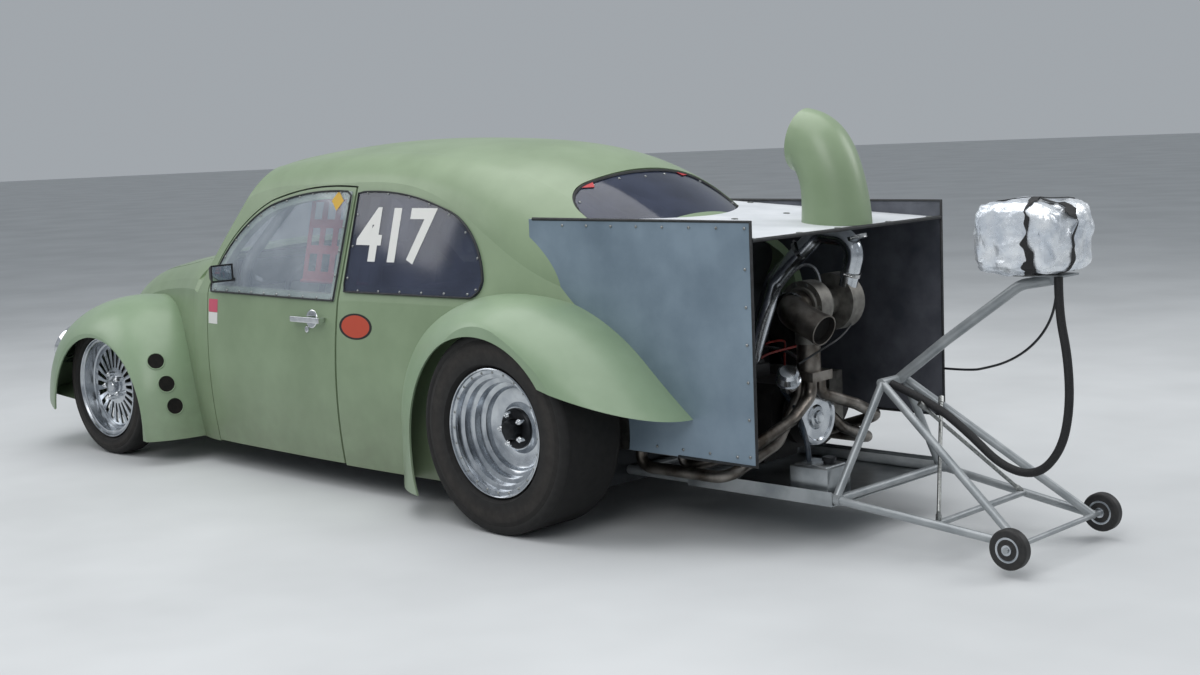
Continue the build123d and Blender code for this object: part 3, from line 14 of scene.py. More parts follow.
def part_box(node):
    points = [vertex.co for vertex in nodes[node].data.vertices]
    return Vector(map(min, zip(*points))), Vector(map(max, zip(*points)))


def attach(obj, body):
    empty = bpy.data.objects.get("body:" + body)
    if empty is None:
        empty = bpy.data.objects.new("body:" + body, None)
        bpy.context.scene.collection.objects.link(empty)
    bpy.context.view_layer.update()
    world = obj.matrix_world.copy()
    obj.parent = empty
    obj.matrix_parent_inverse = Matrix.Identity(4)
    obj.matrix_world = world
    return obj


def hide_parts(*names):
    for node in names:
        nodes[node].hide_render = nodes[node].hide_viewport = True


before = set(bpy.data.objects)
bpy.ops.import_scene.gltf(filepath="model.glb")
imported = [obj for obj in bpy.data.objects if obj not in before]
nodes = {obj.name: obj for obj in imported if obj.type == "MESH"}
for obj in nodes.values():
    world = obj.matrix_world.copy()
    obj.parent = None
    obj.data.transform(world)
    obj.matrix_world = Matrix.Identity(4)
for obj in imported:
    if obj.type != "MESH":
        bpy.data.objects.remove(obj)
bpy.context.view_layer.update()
AXLE = -0.6775  # rear axle in the frame, metres
SIDES = ((1, "left"), (-1, "right"))
print("pieces in the frame:", len(nodes))

# %% [markdown]
# ## Helpers
# The body was measured forward from the rear axle in millimetres, so one function turns
# such a place into the frame's metres. Another turns an sRGB hex colour to linear light.
# A third adds one node to a material with its settings and links, whatever its kind. Most
# plain finishes are one shader whose colour wanders between two tones over patches of a
# real width, so one function makes those.


# %% Places, colours and nodes
def at(x, y, z):
    """Place in metres from millimetres ahead of the rear axle, left and up."""
    return Vector((AXLE + x / 1000, y / 1000, z / 1000))


def colour(code):
    """Linear RGBA of an sRGB hex value."""
    parts = [int(code[i : i + 2], 16) / 255 for i in (0, 2, 4)]
    return (*[c / 12.92 if c <= 0.04045 else ((c + 0.055) / 1.055) ** 2.4 for c in parts], 1)


def add_node(tree, kind, settings=None, links=None):
    """Adds a node, sets its properties and sockets, and links its inputs."""
    made = tree.nodes.new(kind)
    for key, value in (settings or {}).items():
        if key in made.inputs:
            made.inputs[key].default_value = value
        else:
            setattr(made, key, value)
    for key, source in (links or {}).items():
        tree.links.new(source, made.inputs[key])
    return made


def start_material(name, base, metallic=0.0, roughness=0.5, **more):
    """Material with one shader on its output; returns it with its tree and the shader."""
    material = bpy.data.materials.new(name)
    material.use_nodes = True
    tree = material.node_tree
    tree.nodes.clear()
    look = {"Base Color": colour(base), "Metallic": metallic, "Roughness": roughness}
    shader = add_node(tree, "ShaderNodeBsdfPrincipled", look)
    for key, value in more.items():
        shader.inputs[key.replace("_", " ")].default_value = value
    add_node(tree, "ShaderNodeOutputMaterial", links={"Surface": shader.outputs[0]})
    return material, tree, shader


def own_place(tree, **turns):
    """The object's own coordinates, scaled, shifted or turned where that is asked."""
    place = add_node(tree, "ShaderNodeTexCoord").outputs["Object"]
    if not turns:
        return place
    return add_node(tree, "ShaderNodeMapping", turns, {"Vector": place}).outputs[0]


def mottle(tree, millimetres, detail=3.0):
    """Noise on the object's own coordinates, its features that many millimetres wide."""
    return add_node(
        tree,
        "ShaderNodeTexNoise",
        {"Scale": 1.0, "Detail": detail, "Roughness": 0.55},
        {"Vector": own_place(tree, Scale=[1000 / millimetres] * 3)},
    ).outputs["Fac"]


def vary(tree, factor, low, high, edges=(0.35, 0.65)):
    """Colour ramp between two hex colours over a factor."""
    ramp = add_node(tree, "ShaderNodeValToRGB", links={"Fac": factor})
    ramp.color_ramp.elements[0].position, ramp.color_ramp.elements[1].position = edges
    ramp.color_ramp.elements[0].color = colour(low)
    ramp.color_ramp.elements[1].color = colour(high)
    return ramp.outputs["Color"]


def span(tree, factor, low, high, start=0.0, end=1.0):
    """Factor mapped from one range, 0..1 if none is given, to another."""
    ranges = {"From Min": start, "From Max": end, "To Min": low, "To Max": high}
    return add_node(tree, "ShaderNodeMapRange", ranges, {"Value": factor}).outputs["Result"]


def relief(tree, shader, height, millimetres, strength=1.0):
    """Bump of a real height in millimetres on the shader."""
    settings = {"Strength": strength, "Distance": millimetres / 1000}
    bump = add_node(tree, "ShaderNodeBump", settings, {"Height": height})
    tree.links.new(bump.outputs[0], shader.inputs["Normal"])


WEAVE_HEIGHT = 0.3  # millimetres


def mottled(name, low, high, roughness, spot_mm, detail=3.0, weave_mm=0, **more):
    """Plain finish mottled between two tones; cloth also gets its weave as relief."""
    material, tree, shader = start_material(name, high, roughness=roughness, **more)
    tree.links.new(
        vary(tree, mottle(tree, spot_mm, detail), low, high), shader.inputs["Base Color"]
    )
    if weave_mm:
        relief(tree, shader, mottle(tree, weave_mm, 1), WEAVE_HEIGHT, 0.8)
    return material


def paint(name, *pieces):
    """Gives CAD nodes or new pieces a material in every slot."""
    material = bpy.data.materials[name]
    for piece in pieces:
        target = nodes[piece] if isinstance(piece, str) else piece
        if not target.data.materials:
            target.data.materials.append(material)
        for index in range(len(target.data.materials)):
            target.data.materials[index] = material


# %% [markdown]
# ## Camera, floor and light
# The camera stands at the photograph's viewpoint: off the left rear corner, chest high,
# with a long lens. The floor is plain and pale. An overcast evening lights the car from
# above, so a wide lamp hangs over it and weaker ones keep its sides open.

# %% Camera
CAMERA_PLACE = at(-3879.9, 4288.0, 1288.0)
turn, dip, lean = math.radians(-46.199), math.radians(-7.273), math.radians(-2.343)
ahead = Vector((math.cos(turn) * math.cos(dip), math.sin(turn) * math.cos(dip), math.sin(dip)))
level = Vector((math.sin(turn), -math.cos(turn), 0))
upright = level.cross(ahead)
across = level * math.cos(lean) + upright * math.sin(lean)
upward = upright * math.cos(lean) - level * math.sin(lean)
camera = bpy.data.objects.new("camera", bpy.data.cameras.new("camera"))
bpy.context.scene.collection.objects.link(camera)
facing = Matrix((across, upward, -ahead)).transposed().to_4x4()
camera.matrix_world = Matrix.Translation(CAMERA_PLACE) @ facing
camera.data.sensor_width = 36
camera.data.lens = 50.65
bpy.context.scene.camera = camera

# %% Floor, sky and lamps
bpy.ops.object.select_all(action="DESELECT")
bpy.ops.mesh.primitive_circle_add(vertices=96, radius=60, fill_type="NGON", location=(0, 0, 0))
ground = bpy.context.object
ground.name = "ground"
ground.data.materials.append(mottled("pale_screed", "C4C6C7", "CED0D1", 0.8, 900))

scene = bpy.context.scene
scene.view_settings.view_transform = "Standard"
world = bpy.data.worlds.new("overcast_sky")
scene.world = world
world.use_nodes = True
sky = world.node_tree.nodes["Background"]
sky.inputs["Color"].default_value = colour("DCE3EA")
sky.inputs["Strength"].default_value = 0.5


def soft_lamp(name, place, aim, size, watts):
    """Square area lamp at a place, turned to a point."""
    lamp = bpy.data.objects.new(name, bpy.data.lights.new(name, "AREA"))
    lamp.data.shape = "SQUARE"
    lamp.data.size = size
    lamp.data.energy = watts
    lamp.location = place
    lamp.rotation_euler = (Vector(aim) - Vector(place)).to_track_quat("-Z", "Y").to_euler()
    scene.collection.objects.link(lamp)


soft_lamp("top_lamp", (0.0, 0.3, 5.5), (0, 0, 0.6), 6.0, 230)
soft_lamp("key_lamp", (-3.5, 5.5, 5.0), (0, 0, 0.6), 3.5, 140)
soft_lamp("fill_lamp", (5.0, 3.5, 4.0), (0.5, 0, 0.6), 3.0, 70)
soft_lamp("rim_lamp", (-5.0, -4.5, 4.5), (-0.5, 0, 0.6), 3.0, 120)

# %% [markdown]
# ## Paint
# Air-dried two-pack paint in a pale pistachio green covers steel and moulded panels alike.
# It was sprayed satin, so highlights are broad, with the fine dimples of sprayed paint. The
# moulded fenders took a slightly lighter coat, and road dirt greys all near the ground.


# %% Body finishes
SPLASH = (0.42, 0.08)  # metres up, where road dirt starts and where it is thickest


def body_paint(name, low, high, dirt):
    """Satin sprayed paint, dirtier towards the ground."""
    _, tree, shader = start_material(name, high, roughness=0.4, Coat_Weight=0.3)
    shader.inputs["Coat Roughness"].default_value = 0.25
    patches = vary(tree, mottle(tree, 320, 4), low, high)
    height = add_node(tree, "ShaderNodeSeparateXYZ", links={"Vector": own_place(tree)}).outputs["Z"]
    splash = span(tree, height, 0.0, 0.55, *SPLASH)
    patchy = add_node(
        tree, "ShaderNodeMath", {"operation": "MULTIPLY"}, {0: splash, 1: mottle(tree, 60, 6)}
    ).outputs[0]
    soiled = add_node(tree, "ShaderNodeMix", {"data_type": "RGBA"}, {0: patchy, 6: patches})
    soiled.inputs[7].default_value = colour(dirt)
    tree.links.new(soiled.outputs[2], shader.inputs["Base Color"])
    tree.links.new(span(tree, mottle(tree, 140, 3), 0.36, 0.5), shader.inputs["Roughness"])
    relief(tree, shader, mottle(tree, 3.0, 1), 0.05, 0.25)


def pair(*names):
    """The left and the right node of each name."""
    return [f"{label}_{name}" for name in names for label in ("left", "right")]


body_paint("pistachio_two_pack_paint", "788B6C", "859879", "5F5B4E")
body_paint("pistachio_gel_coat", "7F9577", "8CA184", "5F5B4E")
SHELL = ["roof_panel", "front_body", "front_lid", *pair("door", "quarter")]
paint("pistachio_two_pack_paint", *SHELL)
paint("pistachio_gel_coat", "air_scoop", *pair("front_fender", "rear_fender"))

# %% Clear panes
mottled("clear_polycarbonate", "A9B4C0", "CBD5DF", 0.06, 160, 5, Alpha=0.3, IOR=1.58)
mottled("smoked_polycarbonate", "2C3244", "3C4358", 0.08, 160, 5, Alpha=0.72, IOR=1.58)
paint("clear_polycarbonate", "windscreen", *pair("door_pane"))
paint("smoked_polycarbonate", "rear_window", *pair("quarter_pane"))


# %% Metals
def metal(name, low, high, roughness, wear_mm, bump_mm=0.0, metallic=1.0):
    """Metal whose tone and gloss vary over patches of a real width."""
    _, tree, shader = start_material(name, high, metallic=metallic, roughness=roughness)
    patches = mottle(tree, wear_mm, 5)
    tree.links.new(vary(tree, patches, low, high), shader.inputs["Base Color"])
    tree.links.new(
        span(tree, patches, roughness * 0.75, min(1, roughness * 1.35)), shader.inputs["Roughness"]
    )
    if bump_mm:
        relief(tree, shader, mottle(tree, wear_mm / 12, 3), bump_mm, 0.6)


metal("blue_grey_sheet_enamel", "6C7D8B", "8495A3", 0.38, 260, 0.6, metallic=0.3)
metal("white_sheet_enamel", "CDD1D5", "DEE1E5", 0.4, 200, 0.3, metallic=0.1)
metal("polished_aluminium", "A9AEB4", "CDD1D5", 0.2, 60)
metal("cast_aluminium", "6C6A66", "8C8A85", 0.55, 30, 0.4)
metal("heat_tinted_steel", "4E4740", "8F8A84", 0.36, 70, 0.1)
metal("blackened_iron", "1B1B1C", "2D2C2B", 0.55, 40, 0.3, metallic=0.6)
metal("silver_tube_enamel", "8F9497", "A7ABAD", 0.35, 90, metallic=0.4)
metal("bare_aluminium_sheet", "8C9194", "B4B8BA", 0.34, 120, 0.3)
metal("dull_floor_aluminium", "3B3D3F", "54575A", 0.5, 150, 0.3)
paint("blue_grey_sheet_enamel", *pair("side_panel"))
paint("white_sheet_enamel", "rear_deck")
paint("polished_aluminium", "charge_pipe", *pair("front_rim", "rear_rim", "bar_wheel"))
paint("cast_aluminium", "cylinder_banks", "turbocharger", "gearbox")
paint("heat_tinted_steel", "header_pipes", "dump_pipe")
paint("blackened_iron", "engine_case", "front_beam", "axle_tubes", *pair("knuckle"))
paint("silver_tube_enamel", "roll_cage", "engine_cradle", "wheelie_bars", "chute_mount")
paint("bare_aluminium_sheet", "belly_tray")
paint("dull_floor_aluminium", "floor_pan", "rear_bulkhead", *pair("wheel_tub"))


# %% Painted shade on the panels' inner faces
INNER_FACE = 0.501  # metres off the middle: painted shade inside, enamel outside
sheet = bpy.data.materials["blue_grey_sheet_enamel"].node_tree
enamel_shader = next(n for n in sheet.nodes if n.type == "BSDF_PRINCIPLED")
sideways = add_node(sheet, "ShaderNodeSeparateXYZ", links={"Vector": own_place(sheet)}).outputs["Y"]
outward = add_node(sheet, "ShaderNodeMath", {"operation": "ABSOLUTE"}, {0: sideways}).outputs[0]
inner = add_node(sheet, "ShaderNodeMath", {"operation": "LESS_THAN"}, {0: outward})
inner.inputs[1].default_value = INNER_FACE
enamel = enamel_shader.inputs["Base Color"].links[0].from_socket
# painted shade: the inner faces look into the dark engine bay, so they are drawn a darker grey than
# the enamel outside
painted_shade_tone = vary(sheet, mottle(sheet, 120, 5), "4B4E56", "666870")
mixed = {0: inner.outputs[0], 6: enamel, 7: painted_shade_tone}
two_sided = add_node(sheet, "ShaderNodeMix", {"data_type": "RGBA"}, mixed)
sheet.links.new(two_sided.outputs[2], enamel_shader.inputs["Base Color"])


# %% Rubber
def rubber(name, axle, height, ring_reach):
    """Tyre rubber with a scuffed brown ring on its side, centred on its axle."""
    _, tree, shader = start_material(name, "1A1A1A", roughness=0.8)
    centred = own_place(tree, Location=(-axle, 0, -height), Scale=(1, 0, 1))
    radius = add_node(
        tree, "ShaderNodeVectorMath", {"operation": "LENGTH"}, {0: centred}
    ).outputs["Value"]
    ring = span(tree, radius, 0.0, 1.0, *ring_reach)
    ramp = add_node(tree, "ShaderNodeValToRGB", links={"Fac": ring})
    for position, code in ((0.25, "201F1E"), (0.5, "2E2A27"), (0.8, "191817")):
        ramp.color_ramp.elements.new(position).color = colour(code)
    ramp.color_ramp.elements[0].color = colour("161515")
    ramp.color_ramp.elements[-1].color = colour("1A1919")
    worn = add_node(
        tree,
        "ShaderNodeMix",
        {"data_type": "RGBA", "blend_type": "MULTIPLY", "Factor": 0.6},
        {6: ramp.outputs[0], 7: vary(tree, mottle(tree, 25, 6), "8A8580", "FFFFFF")},
    )
    tree.links.new(worn.outputs[2], shader.inputs["Base Color"])
    relief(tree, shader, mottle(tree, 6, 4), 0.25, 0.5)


rubber("slick_tyre_rubber", AXLE, 0.328, (0.2, 0.33))
rubber("front_tyre_rubber", AXLE + 2.4, 0.281, (0.2, 0.29))
paint("slick_tyre_rubber", *pair("rear_tyre"))
paint("front_tyre_rubber", *pair("front_tyre"))

# %% Cabin finishes
metal("black_composite", "101112", "1C1D1E", 0.5, 40, 0.1, metallic=0.0)
metal("suede_grip", "141312", "201E1C", 0.9, 12, 0.3, metallic=0.0)
paint("black_composite", "seat")
paint("suede_grip", "steering_wheel")
mottled("red_nylon_webbing", "8E1722", "BE2C38", 0.75, 2.2, 2, 2.0)
paint("red_nylon_webbing", "window_net")

# %% [markdown]
# ## Parachute strap and release cable
# The strap leaves the pack's underside, hangs in a long bight and rises to the frame's
# hoop; the thin cable runs from the pack to the edge of the right side panel. Both are
# smooth curves through the same points as the solids they replace.


# %% Cords
def round_line(name, spots, thickness, sides, steps, smooth=True):
    """Curve of a round section through places, all in metres."""
    line = bpy.data.curves.new(name, "CURVE")
    line.dimensions = "3D"
    line.bevel_depth = thickness / 2
    line.bevel_resolution = sides
    line.resolution_u = steps
    line.use_fill_caps = True
    path = line.splines.new("NURBS" if smooth else "POLY")
    path.points.add(len(spots) - 1)
    for point, place in zip(path.points, spots):
        point.co = (*place, 1)
    if smooth:
        path.use_endpoint_u = True
        path.order_u = 3
    made = bpy.data.objects.new(name, line)
    scene.collection.objects.link(made)
    return made


def hang(name, route, thickness, material, node):
    """Round cord as a smooth curve that takes the place of its solid, in millimetres."""
    made = round_line(name, [at(*spot) for spot in route], thickness / 1000, 4, 10)
    made.data.materials.append(bpy.data.materials[material])
    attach(made, "body")
    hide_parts(node)


mottled("black_nylon_strap", "0E0E0F", "232325", 0.7, 3, 2, 2.5)
mottled("black_cable_sleeve", "101214", "202429", 0.45, 40, 2)
HOOP = (-1000, 470)  # middle of the hoop's cross tube, forward and up
HOOP_SURFACE = 14.5 + 0.3  # the tube's radius and a gap
RISE = (160, 52)  # the strap's last stretch, forward and up
end_share = HOOP_SURFACE / math.hypot(*RISE)
strap_route = [
    (-1572, 32, 809.7), (-1572, 32, 712), (-1600, 32, 582), (-1605, 32, 440), (-1578, 32, 318),
    (-1502, 32, 236), (-1390, 32, 250), (-1282, 32, 338),
    (HOOP[0] - RISE[0], 32, HOOP[1] - RISE[1]),
    (HOOP[0] - RISE[0] * end_share, 32, HOOP[1] - RISE[1] * end_share),
]
cable_route = [
    (-1490, -110, 809.7), (-1490, -110, 752), (-1468, -128, 684), (-1416, -168, 622),
    (-1340, -226, 566), (-1252, -292, 520), (-1160, -364, 484), (-1066, -434, 456),
    (-968, -501.5, 430), (-861.3, -501.5, 430),
]
hang("strap", strap_route, 25, "black_nylon_strap", "chute_strap")
hang("cable", cable_route, 8, "black_cable_sleeve", "release_cable")

# %% [markdown]
# ## Tools for modelling
# Every added piece starts as a primitive at its real size and place and is shaped in edit
# mode, as by hand. Operators work on what is selected, so faces and edges are picked by a
# test on their middle point and direction. What repeats is made once and copied.


# %% Modelling tools
def clear():
    """Back to object mode with nothing selected."""
    if bpy.context.object and bpy.context.object.mode != "OBJECT":
        bpy.ops.object.mode_set(mode="OBJECT")
    bpy.ops.object.select_all(action="DESELECT")


def choose(piece):
    """Object mode with one piece active and selected."""
    clear()
    bpy.context.view_layer.objects.active = piece
    piece.select_set(True)


def edit(piece, kind="FACE"):
    """Opens a piece in edit mode with nothing selected."""
    choose(piece)
    bpy.ops.object.mode_set(mode="EDIT")
    bpy.ops.mesh.select_mode(type=kind)
    bpy.ops.mesh.select_all(action="DESELECT")


def take_all():
    """Selects all of the open piece."""
    bpy.ops.mesh.select_all(action="SELECT")


def extrude(offset):
    """Extrudes the selected faces together."""
    bpy.ops.mesh.extrude_region_move(TRANSFORM_OT_translate={"value": offset})


def divide(piece, cuts):
    """Opens a piece and cuts every edge of it."""
    edit(piece)
    take_all()
    bpy.ops.mesh.subdivide(number_cuts=cuts)


def pick(test):
    """Selects faces by a test on their middle and direction, and tells how many."""
    mesh = bmesh.from_edit_mesh(bpy.context.object.data)
    for face in mesh.faces:
        face.select_set(bool(test(face.calc_center_median(), face.normal)))
    bmesh.update_edit_mesh(bpy.context.object.data)
    return sum(face.select for face in mesh.faces)


def placed(name):
    """Names the primitive just added and moves its place, turn and size into its mesh."""
    piece = bpy.context.object
    piece.name = piece.data.name = name
    bpy.ops.object.transform_apply(location=True, rotation=True, scale=True)
    return piece


def block(name, low, high):
    """Box between two corners."""
    clear()
    low, high = Vector(low), Vector(high)
    bpy.ops.mesh.primitive_cube_add(size=1, location=(low + high) / 2)
    bpy.context.object.scale = high - low
    return placed(name)


def apply_modifier(piece, kind, **settings):
    """Adds a modifier with its settings and applies it."""
    choose(piece)
    modifier = piece.modifiers.new(kind.lower(), kind)
    for key, value in settings.items():
        setattr(modifier, key, value)
    bpy.ops.object.modifier_apply(modifier=modifier.name)


def finish(piece, body, material, bevel=0.0, levels=0, sharp=35):
    """Rounds a piece's edges, shades it, and gives it its material and its body."""
    if bevel:
        apply_modifier(piece, "BEVEL", width=bevel, segments=2, limit_method="ANGLE")
    if levels:
        apply_modifier(piece, "SUBSURF", levels=levels, render_levels=levels)
    choose(piece)
    bpy.ops.object.shade_smooth_by_angle(angle=math.radians(sharp))
    paint(material, piece)
    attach(piece, body)
    return piece


def copy_of(piece, name, change, body=None):
    """Copy with its own mesh, moved, turned or mirrored by a matrix."""
    made = piece.copy()
    made.data = piece.data.copy()
    made.name = made.data.name = name
    scene.collection.objects.link(made)
    made.data.transform(change)
    if change.determinant() < 0:
        made.data.flip_normals()
    if body:
        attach(made, body)
    return made


def joined(name, pieces):
    """Makes several meshes one piece."""
    clear()
    for piece in pieces:
        piece.select_set(True)
    bpy.context.view_layer.objects.active = pieces[0]
    bpy.ops.object.join()
    bpy.context.object.name = bpy.context.object.data.name = name
    return bpy.context.object


def repeat(template, name, spots):
    """Copies a template that points up to many places and directions, as one piece."""
    copies = []
    for place, normal in spots:
        stand = Vector(normal).to_track_quat("Z", "Y").to_matrix().to_4x4()
        copies.append(copy_of(template, name, Matrix.Translation(place) @ stand))
    return joined(name, copies)


def drawn(name, spots):
    """Line through places, extruded corner by corner from one point and left open to edit."""
    clear()
    bpy.ops.mesh.primitive_plane_add(size=0.001)
    piece = bpy.context.object
    piece.name = piece.data.name = name
    bpy.ops.object.mode_set(mode="EDIT")
    bpy.ops.mesh.select_mode(type="VERT")
    take_all()
    bpy.ops.mesh.merge(type="CENTER")
    bpy.ops.transform.translate(value=spots[0])
    for before, after in zip(spots, spots[1:]):
        bpy.ops.mesh.extrude_vertices_move(TRANSFORM_OT_translate={"value": after - before})
    take_all()
    return piece


def fasten(template, name, spots, body, material="zinc_plated_steel", sharp=60):
    """Copies of one fastener at many places, as one piece with its finish."""
    finish(repeat(template, name, spots), body, material, sharp=sharp)


def turned(name, centre, profile, steps=48, axis=(0, 1, 0)):
    """Spins a profile of (along the axis, radius) in millimetres about an axis."""
    centre, axis = Vector(centre), Vector(axis).normalized()
    out = axis.orthogonal().normalized()
    piece = drawn(name, [centre + (axis * a + out * r) / 1000 for a, r in profile])
    bpy.ops.mesh.spin(steps=steps, angle=2 * math.pi, center=centre, axis=axis)
    take_all()
    bpy.ops.mesh.remove_doubles(threshold=0.00002)
    bpy.ops.mesh.normals_make_consistent(inside=False)
    bpy.ops.object.mode_set(mode="OBJECT")
    return piece


def run(name, points, thickness, body, material, smooth=True, sides=3):
    """Pipe, wire or trim through points, as a mesh."""
    choose(round_line(name, points, thickness, sides, 6, smooth))
    bpy.ops.object.convert(target="MESH")
    return finish(bpy.context.object, body, material, sharp=50)


def hit(node, origin, direction):
    """Where a ray first meets a node, and the outward direction there."""
    direction = Vector(direction).normalized()
    found, place, normal, _ = nodes[node].ray_cast(Vector(origin), direction)
    if not found:
        return None
    return place, (normal if normal.dot(direction) < 0 else -normal)


def beside(node, x, z, side):
    """Where a ray from one side meets a node, at a place in millimetres."""
    return hit(node, at(x, side * 1500, z), (0, -side, 0))


def spun(name, centre, axis, profile, steps, body, material, sharp=35):
    """Turned piece with its finish, as most fittings of a car are."""
    return finish(turned(name, centre, profile, steps, axis), body, material, sharp=sharp)


def step_face(piece, facing, inset, rise):
    """Insets the faces that look one way and moves what is left of them."""
    edit(piece)
    pick(lambda middle, normal: normal.dot(Vector(facing)) > 0.5)
    bpy.ops.mesh.inset(thickness=inset)
    extrude([rise * part for part in facing])


def stud(name, sides, radius, height, inset, rise):
    """Template of a fastener head, left open to edit: a cylinder with its top stepped."""
    clear()
    bpy.ops.mesh.primitive_cylinder_add(
        vertices=sides, radius=radius, depth=height, location=(0, 0, height / 2)
    )
    piece = placed(name)
    step_face(piece, (0, 0, 1), inset, rise)
    return piece


FILM_START = 3  # metres out, where a film waits before it is dropped onto a panel
WIDEST = 0.9  # metres out: what still lies beyond it has missed the panel


def project(piece, node, offset):
    """Drops a flat film sideways onto a panel and trims what runs past its edge."""
    apply_modifier(
        piece, "SHRINKWRAP", target=nodes[node], wrap_method="PROJECT", offset=offset,
        use_project_x=False, use_project_y=True, use_project_z=False,
        use_negative_direction=True, use_positive_direction=True,
    )
    edit(piece)
    if pick(lambda middle, normal: abs(middle.y) > WIDEST):
        print(piece.name, "trimmed at the panel's edge")
        bpy.ops.mesh.delete(type="FACE")
    clear()


# %% [markdown]
# ## Rivets and screws round the panes
# The panes are clear sheet held by rows of small rivets. One dome is modelled; a ring of
# places a little inside each pane's edge, a fixed step apart, carries its copies.

# %% Rivets
clear()
bpy.ops.mesh.primitive_uv_sphere_add(segments=10, ring_count=6, radius=0.0048)
rivet = placed("rivet")
edit(rivet)
pick(lambda middle, normal: middle.z < -0.0001)
bpy.ops.mesh.delete(type="FACE")
take_all()
bpy.ops.transform.resize(value=(1, 1, 0.55))
clear()


def edge_spots(node, inset, pitch, side, axis="y"):
    """Places along the inside of a pane's edge, found by rays from outside."""
    flat = [(v.co.x if axis == "y" else v.co.y, v.co.z) for v in nodes[node].data.vertices]
    hull = [Vector(flat[i]) for i in convex_hull_2d(flat)]
    middle = sum(hull, Vector((0, 0))) / len(hull)
    hull = [p + (middle - p).normalized() * inset for p in hull]
    spots, left = [], 0.0
    for a, b in zip(hull, hull[1:] + hull[:1]):
        length = (b - a).length
        while left < length:
            p = a.lerp(b, left / length)
            origin = (p.x, side * 1.5, p.y) if axis == "y" else (side * 3, p.x, p.y)
            aim = (0, -side, 0) if axis == "y" else (-side, 0, 0)
            found = hit(node, origin, aim)
            if found:
                spots.append(found)
            left += pitch
        left -= length
    return spots


metal("zinc_plated_steel", "7B7D7C", "A4A6A4", 0.35, 8)
panes = []
for side, label in SIDES:
    panes.append((f"{label}_door_pane", f"{label}_door", side, "y", 0.016, 0.085))
    panes.append((f"{label}_quarter_pane", "body", side, "y", 0.016, 0.11))
panes.append(("rear_window", "body", -1, "x", 0.02, 0.11))
panes.append(("windscreen", "body", 1, "x", 0.02, 0.11))
for node, body, side, axis, inset, pitch in panes:
    spots = edge_spots(node, inset, pitch, side, axis)
    fasten(rivet, f"{node}_rivets", spots, body)
    print(node, "rivets:", len(spots))

# %% [markdown]
# ## Stickers and tape
# The race stickers stay blank: plain fields of colour in the right places. A real sticker
# is a film a tenth of a millimetre thick that follows the panel, so each is a fine grid or
# fan projected sideways onto the panel it sticks to.


# %% Stickers
def vinyl(name, code, roughness=0.35):
    """Cast vinyl film: even colour, slightly scuffed gloss."""
    _, tree, shader = start_material(name, code, roughness=roughness)
    scuffs = span(tree, mottle(tree, 30, 4), roughness, roughness + 0.2)
    tree.links.new(scuffs, shader.inputs["Roughness"])


vinyl("orange_red_vinyl", "B5442C")
vinyl("black_vinyl", "1B1614")
vinyl("pink_red_vinyl", "C4546A")
vinyl("white_vinyl", "D8D8D4")
vinyl("yellow_vinyl", "C9A02E")
vinyl("red_cloth_tape", "B3242A")


def sticker(name, node, centre, size, body, field, border=None, side=1, turn=0):
    """Film on a side panel: a bordered oval, or a plain rectangle that may be turned."""
    clear()
    place = (centre.x, side * FILM_START, centre.z)
    if border:
        bpy.ops.mesh.primitive_circle_add(vertices=48, fill_type="TRIFAN", location=place)
    else:
        bpy.ops.mesh.primitive_grid_add(
            x_subdivisions=10, y_subdivisions=10, size=2, location=place
        )
    piece = bpy.context.object
    if border:
        divide(piece, 6)
        choose(piece)
    piece.rotation_euler = (math.radians(-90 * side), math.radians(turn), 0)
    piece.scale = (size[0] / 2, size[1] / 2, 1)
    piece = placed(name)
    project(piece, node, 0.0006)
    piece.data.materials.append(bpy.data.materials[field])
    if border:
        piece.data.materials.append(bpy.data.materials[border])
        for face in piece.data.polygons:
            away = face.center - centre
            if math.hypot(2 * away.x / size[0], 2 * away.z / size[1]) > BORDER_SHARE:
                face.material_index = 1
    choose(piece)
    bpy.ops.object.shade_smooth()
    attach(piece, body)


BORDER_SHARE = 0.87  # of an oval's size is field, the rest border
for side, label in SIDES:
    door = f"{label}_door"
    for name, node, (x, z), size, body, field, border, turn in (
        ("oval", f"{label}_quarter", (822, 609), (0.178, 0.092), "body",
         "orange_red_vinyl", "black_vinyl", 0),
        ("patch_top", door, (1738, 640), (0.066, 0.05), door, "pink_red_vinyl", None, 0),
        ("patch_foot", door, (1738, 592), (0.066, 0.044), door, "white_vinyl", None, 0),
        ("diamond", f"{door}_pane", (1005, 1045), (0.05, 0.05), door, "yellow_vinyl", None, 45),
    ):
        sticker(f"{label}_{name}", node, at(x, 0, z), size, body, field, border, side, turn)

# %% [markdown]
# ## Door handles and mirrors
# A chromed pull handle is a bar on two feet over a shallow dish. The bar is a box cut into
# a grid, its two end faces extruded to the panel, then rounded by subdivision. The mirror
# is a small black shell on an arm, its rear face inset and sunk for the glass.

